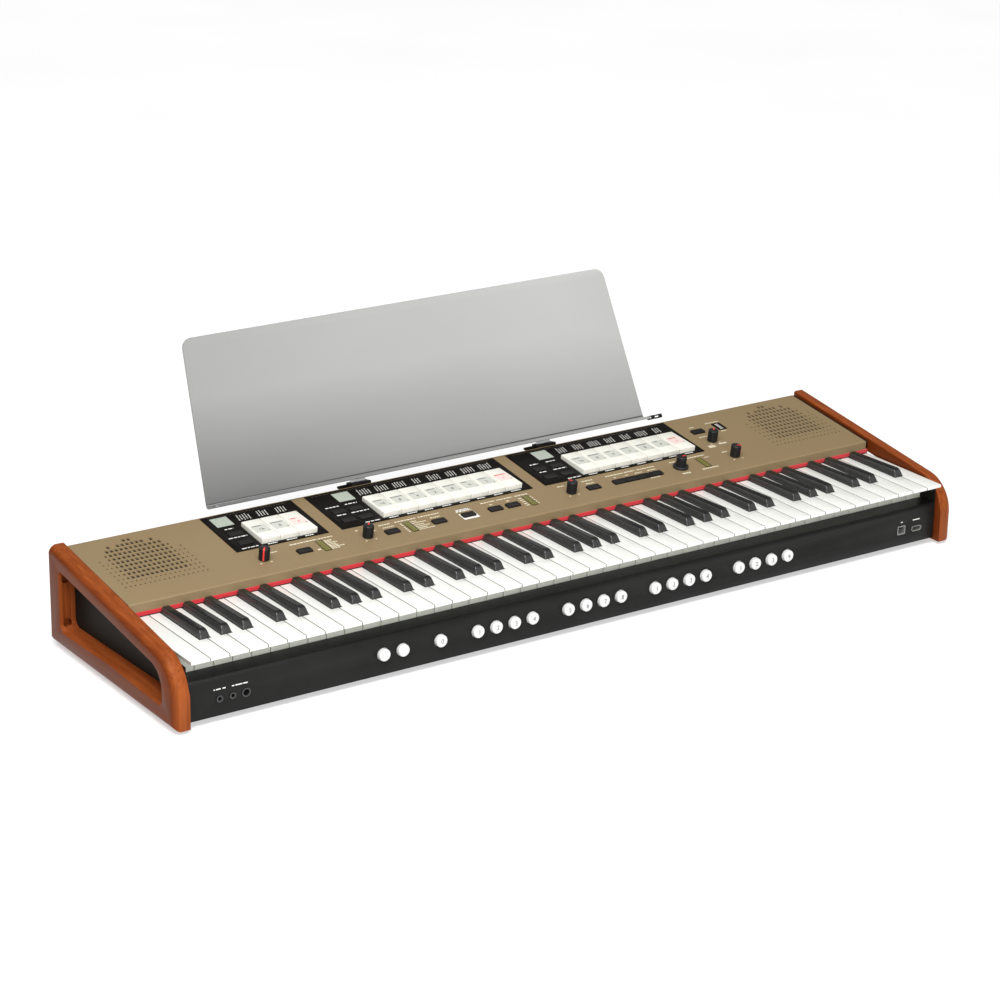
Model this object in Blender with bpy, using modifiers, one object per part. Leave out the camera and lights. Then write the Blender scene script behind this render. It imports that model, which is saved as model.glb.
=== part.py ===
"""Table-top electronic organ: one 76-note manual between two wooden cheeks, with thumb
pistons below the keys, rocker tabs, knobs and buttons on a sloping panel, and a music desk.

Metres, +Z up. The player sits on the -Y side. The origin is on the table under the middle
of the whole instrument. Most pieces are laid out from the keyboard datum: X = 0 at the
middle of the keyboard, Y = 0 at the front of the white keys, Z = 0 at their top.
"""
import math

import bmesh
import bpy
from mathutils import Matrix, Vector

FIT = 0.0003             # clearance between pieces that touch on the real instrument
RUN = 0.0006             # running clearance round pieces that move
LAP = 0.001              # how far fused shapes reach into each other
CUT = 0.010              # reach of a cutter past the sheet it cuts

# Keyboard
WHITE_GROUPS = (5, 7, 7, 7, 7, 7, 5)      # white keys in each comb, E to G
BLACK_SHIFT = {1: -0.0022, 2: 0.0022, 4: -0.003, 5: 0.0, 6: 0.003}   # C# D# F# G# A#
FIRST_NOTE = 2                            # letter of the lowest key, counted up from C
KEY_PITCH = 0.0235
KEY_GAP = 0.0008
KEY_TOP_HEIGHT = 0.081                    # white key tops above the table
KEY_LENGTH = 0.1395                       # playing length up to the felt
KEY_LIP = 0.004                           # thickness of the front lip
KEY_EDGE = 0.0015
SKIRT_Y = 0.037
SKIRT_THICKNESS = 0.015
SKIRT_BOTTOM = -0.034
SKIRT_SLOPE = 0.004                       # run of the skirt's slope back to the body
KEY_BODY = 0.012                          # depth of the key behind its skirt
KEY_HAUNCH = 0.010                        # run of the slope from the body to the tail
TAIL_REACH = 0.004                        # tail ahead of the rail
TAIL_TOP = -0.008
TAIL_BOTTOM = -0.022
RAIL_FRONT = 0.200
RAIL_BACK = 0.220
PIVOT_Y = 0.214
WHITE_PIVOT_Z = -0.015
BLACK_PIVOT_Z = -0.003
BLACK_FRONT = 0.050
BLACK_RAKE = 0.0048                       # how far the front face leans back
BLACK_HEIGHT = 0.0093                     # at the player's end
BLACK_BACK_HEIGHT = 0.0065                # at the felt
BLACK_WIDTH = 0.0124
BLACK_TOP_WIDTH = 0.009
BLACK_DEPTH = 0.010                       # body below the white key tops
BLACK_RAIL_TOP = 0.002
BLACK_RAIL_BOTTOM = -0.0068
NOTCH_GAP = 0.0008
END_GAP = 0.00015                         # end keys' half gap to the metal sides

# Cheeks
CHEEK_THICKNESS = 0.020
CHEEK_BOTTOM = -0.077
CROWN_FRONT = -0.00205                    # height of the crown line at Y = 0
CROWN_RISE = 0.1455                       # its rise along the depth
CHEEK_NOSE = 0.045
CHEEK_CHAMFER = 0.008
WINDOW_FRONT = 0.026
WINDOW_REAR_WALL = 0.0225
WINDOW_BOTTOM = -0.0585
WINDOW_TOP_WALL = 0.0167
WINDOW_RADII = (0.010, 0.008, 0.024, 0.004)

# Sheet metal body
SHEET = 0.0015
SIDE_SHEET = 0.0012
PAN_BOTTOM = -0.0735
FRONT_FACE = 0.0095                       # front panel, behind the key lips
FRONT_TOP = -0.027
FLANGE_BACK = 0.0355
REAR_INSET = 0.002                        # rear panel in from the cheeks' ends
SIDE_FRONT_TOP = -0.0095
SIDE_REAR_TOP = -0.001

# Sloping top panel, measured along its slope from its front edge
PANEL_FRONT = 0.141
PANEL_HEIGHT = 0.0155
PANEL_RUN = 0.150
PANEL_RISE = 0.0205
PANEL_LIP = 0.011
PANEL_FOLD = 0.003
PANEL_OVERHANG = 0.0005                   # past the rear panel
PANEL_GAP = 0.0009                        # shadow gap to each cheek
FELT_THICKNESS = 0.0025
FELT_HEIGHT = 0.0036
PLATE_THICKNESS = 0.0006
PLATE_FRONT = 0.060
PLATE_MARGIN = 0.0029                     # from the plates to the panel's rear edge
PLATES = {"left": (-0.361, -0.2395), "middle": (-0.2215, 0.0475), "right": (0.0655, 0.310)}

# Rocker tabs
TAB_PITCH = 0.02465
TAB_FRONT = 0.066
TAB_BACK = 0.116
TAB_FRONT_HEIGHT = 0.0072
TAB_BACK_HEIGHT = 0.005
TAB_DEPTH = 0.006
TAB_GAP = 0.0005
TAB_GROOVE = 0.002
TAB_PIVOT = (0.112, -0.003)               # along the slope, above the panel
TAB_BANKS = (                             # first tab's left edge, then the tabs in each group
    ("left", -0.325, (3,)),
    ("middle", -0.1615, (4, 4)),
    ("right", 0.1266, (4, 3)),
)

# Knobs: place across and place along the slope
KNOBS = (
    (-0.3405, 0.034),
    (-0.203, 0.0335),
    (0.085, 0.0325),
    (0.253, 0.035),
    (0.338, 0.081),
    (0.338, 0.034),
)
SKIRTED_KNOB = 4
KNOB_RADIUS = 0.0064
KNOB_HEIGHT = 0.0155
KNOB_LIFT = 0.0005
SKIRT_RADIUS = 0.0098
SKIRT_HEIGHT = 0.003
SHAFT_RADIUS = 0.003

# Push buttons on the panel
BUTTON_WIDTH = 0.0168
BUTTON_LENGTH = 0.0085
BUTTON_HEIGHT = 0.0018
BUTTON_FRONT = 0.0281
BUTTON_LEFTS = (-0.2969, -0.1787, -0.1138, -0.0728, -0.0342, -0.0092, 0.1096)
BUTTON_ROW_LEFT = 0.1486                  # row of buttons that share one hole
BUTTON_ROW_PITCH = 0.0185
BUTTON_ROW_COUNT = 4
CARRIER = 0.0018
CARRIER_FRONT = 0.0385
CARRIER_BACK = 0.044
PLATE_BUTTON_FRONTS = (0.0718, 0.0948)
PLATE_BUTTON_LEFTS = {
    "left": (-0.3499,),
    "middle": (-0.2114, -0.1884),
    "right": (0.0756, 0.1006),
}
POWER_BUTTON = (0.3274, 0.1044)
FLANGE = 0.0015                           # ledge that keeps a button in its hole

# Thumb pistons in the front panel
PISTON_GROUPS = (2, 1, 4, 4, 4, 4)
PISTON_PITCH = 0.025
PISTON_FIRST = -0.2846
PISTON_Z = -0.0489
PISTON_RADIUS = 0.0072
PISTON_REACH = 0.0052
PISTON_STRIP = 0.008                      # half height of the strip behind the panel
PISTON_STRIP_DEPTH = 0.002

# Loudspeaker grilles and loudspeakers
GRILLE_CENTRE = 0.4615
SLOT_PITCH = 0.006
SLOT_WIDTH = 0.003
SLOT_LENGTH = 0.005
SLOT_ROW_PITCH = 0.0091
SLOT_MARGIN = 0.0132                      # from the first row to the panel's rear edge
SLOT_ROWS = 10
SLOT_COLUMNS = 12
TOP_ROWS = (((-1, 1),), ((-9, -9), (-5, 5), (9, 9)))   # spans in half pitches from the middle
SPEAKER_SETBACK = 0.0342                  # speaker's middle in front of the first row
SPEAKER_RADIUS = 0.038
BASKET_RADIUS = 0.034
MAGNET_RADIUS = 0.018
SPEAKER_DEPTHS = (0.0035, 0.0095, 0.009)  # frame, basket, magnet

# Inside
DECK_TOP = -0.036
DECK_SHEET = 0.002
DECK_FRONT = 0.058
BACK_WALL = 0.0029
RIDGE = 0.003
BOARD = 0.0016
BOARD_DROP = 0.0104                       # control board below the panel surface
CONTACT_FRONT = 0.090
CONTACT_BACK = 0.140
CONTACT_Z = -0.024
DOME_HEIGHT = 0.0029
MAIN_BOARD_WIDTH = 0.300
MAIN_BOARD_GAP = 0.0104                   # behind the keybed frame
MAIN_BOARD_Z = -0.066

# Feet
FOOT_RADIUS = 0.010
FOOT_X = 0.470
FOOT_FRONT = 0.045
FOOT_REAR_INSET = 0.0405                  # rear feet ahead of the rear panel

# Music desk
DESK_SETBACK = 0.0135                     # desk's fold behind the rear panel
DESK_LIFT = 0.006                         # desk's fold above the top panel's rear edge
DESK_ANGLE = 24                           # degrees back from upright
DESK_SHEET = 0.003
DESK_CENTRE = -0.0257
DESK_BOTTOM_WIDTH = 0.633
DESK_TOP_WIDTH = 0.605
DESK_HEIGHT = 0.198
DESK_LEDGE = 0.0185
DESK_CORNER = 0.012
TONGUE_WIDTH = 0.024
TONGUE_LENGTH = 0.022
BRACKET_X = 0.1355
BRACKET_WIDTH = 0.031
BRACKET_BEHIND = 0.0045                   # bracket behind the desk's fold
BRACKET_BOTTOM = 0.0
BRACKET_TAB_WIDTH = 0.015
BRACKET_TAB_TOP = 0.0345

# Sockets
JACKS = ((-0.490, 0.0021), (-0.474, 0.0021), (-0.4576, 0.0036))   # X and hole radius
JACK_Z = -0.054
SOCKET_DEPTH = 0.009
SOCKET_BLOCK = 0.014
PORTS = ((0.4751, -0.0535, 0.0071, 0.0071), (0.5001, -0.0555, 0.0110, 0.0045))
REAR_PLATE = (-0.420, -0.220, -0.062, -0.020)       # X and Z spans of the connector plate
REAR_JACK_FIRST = -0.300
REAR_JACK_PITCH = 0.022
REAR_JACK_COUNT = 3
INLET = (-0.385, 0.024, 0.016)

WHITE_COUNT = sum(WHITE_GROUPS)
HALF_BED = WHITE_COUNT * KEY_PITCH / 2
SIDE_INNER = HALF_BED + END_GAP
SIDE_OUTER = SIDE_INNER + SIDE_SHEET
CHEEK_INNER = SIDE_OUTER + FIT
CHEEK_OUTER = CHEEK_INNER + CHEEK_THICKNESS
PANEL_HALF = CHEEK_INNER - PANEL_GAP
REAR_FACE = PANEL_FRONT + PANEL_RUN - PANEL_OVERHANG
CHEEK_DEPTH = REAR_FACE + REAR_INSET
SLOPE = math.atan2(PANEL_RISE, PANEL_RUN)
PANEL_LENGTH = math.hypot(PANEL_RUN, PANEL_RISE)
PLATE_BACK = PANEL_LENGTH - PLATE_MARGIN
SLOT_FIRST_ROW = PANEL_LENGTH - SLOT_MARGIN
FOOT_YS = (FOOT_FRONT, REAR_FACE - FOOT_REAR_INSET)
KEYBED_BACK = RAIL_BACK + 2 * RUN + BACK_WALL
DESK_FOLD_Y = REAR_FACE + DESK_SETBACK
DESK_FOLD_Z = PANEL_HEIGHT + PANEL_RISE + DESK_LIFT
DESK_TILT = math.radians(DESK_ANGLE)
BRACKET_BACK = DESK_FOLD_Y + BRACKET_BEHIND
REAR_JACKS = [REAR_JACK_FIRST + i * REAR_JACK_PITCH for i in range(REAR_JACK_COUNT)]
FLOOR_TOP = PAN_BOTTOM + SHEET
TABLE = -KEY_TOP_HEIGHT
TOTAL_DEPTH = DESK_FOLD_Y + DESK_HEIGHT * math.sin(DESK_TILT) + DESK_SHEET * math.cos(DESK_TILT)


def clear_scene():
    for old in list(bpy.data.objects):
        bpy.data.objects.remove(old, do_unlink=True)


def new_collection(name):
    group = bpy.data.collections.new(name)
    bpy.context.scene.collection.children.link(group)
    return group


def new_material(name, colour, roughness, metallic=0.0):
    material = bpy.data.materials.new(name)
    material.use_nodes = True
    shader = material.node_tree.nodes["Principled BSDF"]
    shader.inputs["Base Color"].default_value = (*colour, 1.0)
    shader.inputs["Roughness"].default_value = roughness
    shader.inputs["Metallic"].default_value = metallic
    material.diffuse_color = (*colour, 1.0)
    return material


clear_scene()
ORGAN = new_collection("electronic_organ")
CUTTERS = new_collection("cutters")

WOOD = new_material("cheek_wood", (0.38, 0.09, 0.02), 0.35)
BRONZE = new_material("panel_bronze", (0.33, 0.26, 0.17), 0.5, 0.2)
BLACK_STEEL = new_material("black_steel", (0.016, 0.016, 0.015), 0.5)
IVORY = new_material("white_key", (0.88, 0.87, 0.80), 0.25)
EBONY = new_material("black_key", (0.02, 0.02, 0.02), 0.35)
RED_FELT = new_material("red_felt", (0.70, 0.01, 0.03), 0.95)
BLACK_PLASTIC = new_material("black_plastic", (0.02, 0.02, 0.02), 0.4)
PLATE_BLACK = new_material("plate_black", (0.012, 0.012, 0.012), 0.45)
ZINC = new_material("zinc_steel", (0.55, 0.55, 0.53), 0.45, 0.9)
CIRCUIT = new_material("circuit_board", (0.03, 0.18, 0.07), 0.5)
RUBBER = new_material("foot_rubber", (0.02, 0.02, 0.02), 0.8)
DESK_GREY = new_material("desk_sheet", (0.35, 0.35, 0.34), 0.2)


def new_empty(name, parent, place, turn):
    empty = bpy.data.objects.new(name, None)
    ORGAN.objects.link(empty)
    empty.parent = parent
    empty.location = place
    empty.rotation_euler = (turn, 0.0, 0.0)
    return empty


DATUM = new_empty("keyboard_datum", None, (0.0, -TOTAL_DEPTH / 2, KEY_TOP_HEIGHT), 0.0)
PANEL = new_empty("panel_datum", DATUM, (0.0, PANEL_FRONT, PANEL_HEIGHT), SLOPE)
DESK = new_empty("desk_datum", DATUM, (0.0, DESK_FOLD_Y, DESK_FOLD_Z), -DESK_TILT)


def link(name, mesh, frame, material):
    """Put a mesh in the scene: a piece with its material, or a cutter without one."""
    piece = bpy.data.objects.new(name, mesh)
    piece.parent = frame
    if material is None:
        CUTTERS.objects.link(piece)
        piece.hide_render = True
        piece.display_type = "WIRE"
    else:
        ORGAN.objects.link(piece)
        mesh.materials.clear()
        mesh.materials.append(material)
    return piece


def mesh_from(name, bm):
    mesh = bpy.data.meshes.new(name)
    bm.to_mesh(mesh)
    bm.free()
    return mesh


def blocks(name, spans, frame, material=None):
    """One object of separate blocks, each given as x0, x1, y0, y1, z0, z1."""
    bm = bmesh.new()
    for x0, x1, y0, y1, z0, z1 in spans:
        middle = Matrix.Translation(((x0 + x1) / 2, (y0 + y1) / 2, (z0 + z1) / 2))
        size = Matrix.Diagonal((x1 - x0, y1 - y0, z1 - z0, 1.0))
        bmesh.ops.create_cube(bm, size=1.0, matrix=middle @ size)
    return link(name, mesh_from(name, bm), frame, material)


def cylinders(name, spots, frame, material=None, axis="Z", sides=12):
    """One object of separate cylinders, each given as its two end centres' x, y, z
    with the far end's coordinate on the axis, and its radius."""
    bm = bmesh.new()
    for (x, y, z), far, radius in spots:
        near = z if axis == "Z" else y
        middle = (x, y, (z + far) / 2) if axis == "Z" else (x, (y + far) / 2, z)
        turn = Matrix.Identity(4) if axis == "Z" else Matrix.Rotation(math.pi / 2, 4, "X")
        bmesh.ops.create_cone(bm, cap_ends=True, segments=sides, radius1=radius, radius2=radius,
                              depth=abs(far - near), matrix=Matrix.Translation(middle) @ turn)
    piece = link(name, mesh_from(name, bm), frame, material)
    shade_round(piece)
    return piece


def shade_round(piece):
    piece.data.shade_smooth()
    piece.data.set_sharp_from_angle(angle=math.radians(35))


def fillet(corners, radii, steps=6):
    """Round the corners of an outline; a radius of 0 leaves the corner as it is."""
    points = []
    for i, (corner, radius) in enumerate(zip(corners, radii)):
        here = Vector(corner)
        if radius <= 0:
            points.append(tuple(here))
            continue
        back = (Vector(corners[i - 1]) - here).normalized()
        ahead = (Vector(corners[(i + 1) % len(corners)]) - here).normalized()
        half = back.angle(ahead) / 2
        centre = here + (back + ahead).normalized() * radius / math.sin(half)
        start = (here + back * radius / math.tan(half) - centre).normalized()
        end = (here + ahead * radius / math.tan(half) - centre).normalized()
        for step in range(steps + 1):
            points.append(tuple(centre + radius * start.slerp(end, step / steps)))
    return points


def outline_mesh(name, points, near, far):
    """A flat outline as a filled 2D curve, thick from near to far along its own Z."""
    curve = bpy.data.curves.new(name, "CURVE")
    curve.dimensions = "2D"
    curve.fill_mode = "BOTH"
    curve.extrude = (far - near) / 2
    spline = curve.splines.new("POLY")
    spline.points.add(len(points) - 1)
    for spot, (x, y) in zip(spline.points, points):
        spot.co = (x, y, 0.0, 1.0)
    spline.use_cyclic_u = True
    holder = bpy.data.objects.new(name, curve)
    bpy.context.scene.collection.objects.link(holder)
    graph = bpy.context.evaluated_depsgraph_get()
    mesh = bpy.data.meshes.new_from_object(holder.evaluated_get(graph))
    bpy.data.objects.remove(holder, do_unlink=True)
    bm = bmesh.new()
    bm.from_mesh(mesh)
    bmesh.ops.remove_doubles(bm, verts=bm.verts, dist=0.00001)
    bmesh.ops.dissolve_limit(bm, angle_limit=0.001, verts=bm.verts, edges=bm.edges)
    bmesh.ops.translate(bm, verts=bm.verts, vec=(0.0, 0.0, (near + far) / 2))
    bmesh.ops.recalc_face_normals(bm, faces=bm.faces)
    bm.to_mesh(mesh)
    bm.free()
    return mesh


SIDEWAYS = Matrix(((0, 0, 1, 0), (1, 0, 0, 0), (0, 1, 0, 0), (0, 0, 0, 1)))


def profiles(name, points, spans, frame, material=None):
    """One object of side profiles (Y, Z), each extruded across one span of X."""
    bm = bmesh.new()
    for x0, x1 in spans:
        mesh = outline_mesh(name, points, x0, x1)
        mesh.transform(SIDEWAYS)
        bm.from_mesh(mesh)
        bpy.data.meshes.remove(mesh)
    return link(name, mesh_from(name, bm), frame, material)


def boolean(piece, tool, operation):
    modifier = piece.modifiers.new(operation.lower(), "BOOLEAN")
    modifier.operation = operation
    modifier.object = tool
    modifier.solver = "EXACT"


def pivot_at(piece, place):
    """Move a piece's origin onto its joint's axis without moving the piece."""
    piece.data.transform(Matrix.Translation(-Vector(place)))
    piece.location = place


def crown(y):
    return CROWN_FRONT + CROWN_RISE * y


def under_panel(y):
    """Height of the top panel's underside over a place Y of the keyboard datum."""
    return PANEL_HEIGHT + (y - PANEL_FRONT) * math.tan(SLOPE) - SHEET / math.cos(SLOPE)


def make_cheek(side, name):
    corners = ((CHEEK_DEPTH, CHEEK_BOTTOM), (0.0, CHEEK_BOTTOM), (0.0, crown(0.0)),
               (CHEEK_DEPTH, crown(CHEEK_DEPTH)))
    inner, outer = side * CHEEK_INNER, side * CHEEK_OUTER
    span = (min(inner, outer), max(inner, outer))
    cheek = profiles(name, fillet(corners, (0, 0, CHEEK_NOSE, 0), 10), (span,), DATUM, WOOD)
    bm = bmesh.new()
    bm.from_mesh(cheek.data)
    rim = [edge for edge in bm.edges
           if all(abs(spot.co.x - outer) < 1e-6 for spot in edge.verts)
           and not all(spot.co.y > CHEEK_DEPTH - 1e-6 for spot in edge.verts)]
    bmesh.ops.bevel(bm, geom=rim, offset=CHEEK_CHAMFER, segments=1, affect="EDGES")
    bm.to_mesh(cheek.data)
    bm.free()
    rear = CHEEK_DEPTH - WINDOW_REAR_WALL
    hole = ((rear, WINDOW_BOTTOM), (WINDOW_FRONT, WINDOW_BOTTOM),
            (WINDOW_FRONT, crown(WINDOW_FRONT) - WINDOW_TOP_WALL),
            (rear, crown(rear) - WINDOW_TOP_WALL))
    through = (span[0] - FIT, span[1] + FIT)
    window = profiles(name + "_window", fillet(hole, WINDOW_RADII), (through,), DATUM)
    boolean(cheek, window, "DIFFERENCE")


def make_base_pan():
    front = FRONT_FACE + SHEET + FIT
    back = REAR_FACE - SHEET - FIT
    pan = blocks("base_pan", ((-SIDE_OUTER, SIDE_OUTER, front, back, PAN_BOTTOM, FLOOR_TOP),),
                 DATUM, BLACK_STEEL)
    lip = PANEL_FRONT + SHEET + RUN
    side = ((front, PAN_BOTTOM), (back, PAN_BOTTOM), (back, under_panel(back) - FIT),
            (lip, under_panel(lip) - FIT), (lip, SIDE_REAR_TOP), (front, SIDE_FRONT_TOP))
    walls = profiles("base_pan_walls", side,
                     ((-SIDE_OUTER, -SIDE_INNER), (SIDE_INNER, SIDE_OUTER)), DATUM)
    boolean(pan, walls, "UNION")


def make_front_panel():
    back = FRONT_FACE + SHEET
    half = SIDE_INNER - FIT
    bottom = PAN_BOTTOM
    corner = ((FRONT_FACE, bottom), (back, bottom), (back, FRONT_TOP - SHEET),
              (FLANGE_BACK, FRONT_TOP - SHEET), (FLANGE_BACK, FRONT_TOP), (FRONT_FACE, FRONT_TOP))
    panel = profiles("front_panel", corner, ((-half, half),), DATUM, BLACK_STEEL)
    overlap = SHEET / 2
    jack_left, jack_right = JACKS[0][0] - SOCKET_BLOCK / 2, JACKS[-1][0] + SOCKET_BLOCK / 2
    port_left = PORTS[0][0] - SOCKET_BLOCK / 2 - FLANGE
    port_right = PORTS[-1][0] + SOCKET_BLOCK / 2 + FLANGE
    depth = FRONT_FACE + SOCKET_DEPTH + SHEET
    low, high = JACK_Z - SOCKET_BLOCK / 2, JACK_Z + SOCKET_BLOCK / 2
    bosses = blocks("front_panel_bosses", (
        (jack_left, jack_right, back - overlap, depth, low, high),
        (port_left, port_right, back - overlap, depth, low, high)), DATUM)
    boolean(panel, bosses, "UNION")
    ahead = FRONT_FACE - SHEET
    spots = [((x, ahead, JACK_Z), FRONT_FACE + SOCKET_DEPTH, radius) for x, radius in JACKS]
    for x in piston_places():
        spots.append(((x, ahead, PISTON_Z), back + SHEET, PISTON_RADIUS + RUN))
    holes = cylinders("front_panel_holes", spots, DATUM, axis="Y")
    boolean(panel, holes, "DIFFERENCE")
    ports = blocks("front_panel_ports", [
        (x - width / 2, x + width / 2, ahead, FRONT_FACE + SOCKET_DEPTH,
         z - height / 2, z + height / 2) for x, z, width, height in PORTS], DATUM)
    boolean(panel, ports, "DIFFERENCE")


def piston_groups():
    """X of each piston, group by group, with one empty place between groups."""
    groups, place = [], 0
    for count in PISTON_GROUPS:
        groups.append([PISTON_FIRST + (place + i) * PISTON_PITCH for i in range(count)])
        place += count + 1
    return groups


def piston_places():
    return [x for group in piston_groups() for x in group]


def make_pistons():
    back = FRONT_FACE + SHEET + FIT
    for number, group in enumerate(piston_groups(), 1):
        name = "pistons_%d" % number
        half = PISTON_STRIP
        strip = blocks(name, ((group[0] - half, group[-1] + half, back,
                               back + PISTON_STRIP_DEPTH, PISTON_Z - half, PISTON_Z + half),),
                       DATUM, IVORY)
        spots = [((x, FRONT_FACE - PISTON_REACH, PISTON_Z), back + PISTON_STRIP_DEPTH / 2,
                  PISTON_RADIUS) for x in group]
        caps = cylinders(name + "_caps", spots, DATUM, axis="Y")
        boolean(strip, caps, "UNION")


def make_rear_panel():
    half = SIDE_INNER - FIT
    front = REAR_FACE - SHEET
    top = under_panel(front) - FIT
    rear = blocks("rear_panel", ((-half, half, front, REAR_FACE, PAN_BOTTOM, top),),
                  DATUM, BLACK_STEEL)
    left, right, low, high = REAR_PLATE
    edge = 3 * SHEET
    window = blocks("rear_panel_window", ((left + edge, right - edge, front - SHEET,
                                           REAR_FACE + SHEET, low + edge, high - edge),), DATUM)
    boolean(rear, window, "DIFFERENCE")


def make_connector_panel():
    left, right, low, high = REAR_PLATE
    face = REAR_FACE + FIT + SHEET
    edge = 3 * SHEET + RUN
    middle = (low + high) / 2
    plate = blocks("connector_panel", ((left, right, REAR_FACE + FIT, face, low, high),),
                   DATUM, ZINC)
    inside = face - SHEET - SOCKET_BLOCK
    body = blocks("connector_body", ((left + edge, right - edge, inside, face - SHEET / 2,
                                      low + edge, high - edge),), DATUM)
    boolean(plate, body, "UNION")
    spots = [((x, face + SHEET, middle), face - SOCKET_DEPTH, JACKS[-1][1]) for x in REAR_JACKS]
    holes = cylinders("connector_holes", spots, DATUM, axis="Y")
    boolean(plate, holes, "DIFFERENCE")
    x, width, height = INLET
    inlet = blocks("connector_inlet", ((x - width / 2, x + width / 2, face - SOCKET_DEPTH,
                                        face + SHEET, middle - height / 2,
                                        middle + height / 2),), DATUM)
    boolean(plate, inlet, "DIFFERENCE")


def tab_groups():
    """Name, left edge and tab count of each group of rocker tabs."""
    for bank, left, counts in TAB_BANKS:
        place = left
        for number, count in enumerate(counts, 1):
            name = "tabs_" + bank if len(counts) == 1 else "tabs_%s_%d" % (bank, number)
            yield name, place, count
            place += count * TAB_PITCH


def bank_spans():
    """X span of each whole bank of tabs."""
    return [(left, left + sum(counts) * TAB_PITCH) for _, left, counts in TAB_BANKS]


def button_spans():
    """X span of each button in the row along the front of the panel."""
    row = [BUTTON_ROW_LEFT + i * BUTTON_ROW_PITCH for i in range(BUTTON_ROW_COUNT)]
    return [(left, left + BUTTON_WIDTH) for left in [*BUTTON_LEFTS, *row]]


def tab_cutter(name):
    return blocks(name, [(x0 - RUN, x1 + RUN, TAB_FRONT - RUN, TAB_BACK + RUN, -CUT, CUT)
                         for x0, x1 in bank_spans()], PANEL)


def plate_button_cutter(name):
    return blocks(name, [
        (x - RUN, x + BUTTON_WIDTH + RUN, s - RUN, s + BUTTON_LENGTH + RUN, -CUT, CUT)
        for lefts in PLATE_BUTTON_LEFTS.values() for x in lefts for s in PLATE_BUTTON_FRONTS],
        PANEL)


def grille_slots():
    """Slots of both grilles: a square field with two broken rows at the top."""
    slots = []
    for side in (-1, 1):
        for row in range(SLOT_ROWS):
            place = SLOT_FIRST_ROW - row * SLOT_ROW_PITCH
            edge = SLOT_COLUMNS - 1
            spans = TOP_ROWS[row] if row < len(TOP_ROWS) else ((-edge, edge),)
            for half in range(-edge, edge + 1, 2):
                if not any(first <= half <= last for first, last in spans):
                    continue
                x = side * GRILLE_CENTRE + half * SLOT_PITCH / 2
                slots.append((x - SLOT_WIDTH / 2, x + SLOT_WIDTH / 2,
                              place - SLOT_LENGTH / 2, place + SLOT_LENGTH / 2, -CUT, CUT))
    return slots


def make_top_panel():
    cos, sin = math.cos(SLOPE), math.sin(SLOPE)
    fold = Vector((PANEL_FRONT + PANEL_FOLD,
                   PANEL_HEIGHT + PANEL_FOLD * math.tan(SLOPE) - PANEL_FOLD / cos))
    end = Vector((PANEL_FRONT + PANEL_RUN, PANEL_HEIGHT + PANEL_RISE))
    low = PANEL_HEIGHT - PANEL_LIP
    turns = [math.pi - i / 4 * (math.pi / 2 - SLOPE) for i in range(5)]

    def arc(radius, angles):
        return [tuple(fold + radius * Vector((math.cos(a), math.sin(a)))) for a in angles]

    points = [(PANEL_FRONT, low)] + arc(PANEL_FOLD, turns) + [tuple(end)]
    points.append(tuple(end + SHEET * Vector((sin, -cos))))
    points += arc(PANEL_FOLD - SHEET, reversed(turns)) + [(PANEL_FRONT + SHEET, low)]
    panel = profiles("top_panel", points, ((-PANEL_HALF, PANEL_HALF),), DATUM, BRONZE)
    boolean(panel, tab_cutter("panel_tab_windows"), "DIFFERENCE")
    boolean(panel, plate_button_cutter("panel_plate_button_holes"), "DIFFERENCE")
    spans = [(x0 - RUN, x1 + RUN, BUTTON_FRONT - RUN, BUTTON_FRONT + BUTTON_LENGTH + RUN,
              -CUT, CUT) for x0, x1 in button_spans()[:len(BUTTON_LEFTS)]]
    row = button_spans()[len(BUTTON_LEFTS):]
    spans.append((row[0][0] - RUN, row[-1][1] + RUN, BUTTON_FRONT - RUN,
                  BUTTON_FRONT + BUTTON_LENGTH + RUN, -CUT, CUT))
    x, s = POWER_BUTTON
    spans.append((x - RUN, x + BUTTON_WIDTH + RUN, s - RUN, s + BUTTON_LENGTH + RUN,
                  -CUT, CUT))
    boolean(panel, blocks("panel_button_holes", spans, PANEL), "DIFFERENCE")
    shafts = [((x, s, -CUT), CUT, SHAFT_RADIUS + RUN) for x, s in KNOBS]
    boolean(panel, cylinders("panel_shaft_holes", shafts, PANEL), "DIFFERENCE")
    boolean(panel, blocks("grille_slots", grille_slots(), PANEL), "DIFFERENCE")


def make_felt():
    high = PANEL_HEIGHT - PANEL_LIP - FIT
    half = SIDE_INNER - FIT
    blocks("red_felt", ((-half, half, PANEL_FRONT, PANEL_FRONT + FELT_THICKNESS,
                         high - FELT_HEIGHT, high),), DATUM, RED_FELT)


def make_stop_plates():
    tabs = tab_cutter("plate_tab_windows")
    buttons = plate_button_cutter("plate_button_holes")
    for where, (left, right) in PLATES.items():
        plate = blocks("stop_plate_" + where, ((left, right, PLATE_FRONT, PLATE_BACK,
                                                FIT, FIT + PLATE_THICKNESS),), PANEL, PLATE_BLACK)
        boolean(plate, tabs, "DIFFERENCE")
        boolean(plate, buttons, "DIFFERENCE")


def make_tabs():
    side = ((TAB_FRONT, -TAB_DEPTH), (TAB_BACK, -TAB_DEPTH), (TAB_BACK, TAB_BACK_HEIGHT),
            (TAB_FRONT, TAB_FRONT_HEIGHT))
    for name, left, count in tab_groups():
        right = left + count * TAB_PITCH
        group = profiles(name, side, ((left + TAB_GAP / 2, right - TAB_GAP / 2),), PANEL, IVORY)
        low = TAB_BACK_HEIGHT - TAB_GROOVE
        grooves = blocks(name + "_grooves", [
            (left + i * TAB_PITCH - TAB_GAP / 2, left + i * TAB_PITCH + TAB_GAP / 2,
             TAB_FRONT - TAB_GAP, TAB_BACK + TAB_GAP, low, 2 * TAB_FRONT_HEIGHT)
            for i in range(1, count)], PANEL)
        pivot_at(group, ((left + right) / 2, *TAB_PIVOT))
        boolean(group, grooves, "DIFFERENCE")


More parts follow.
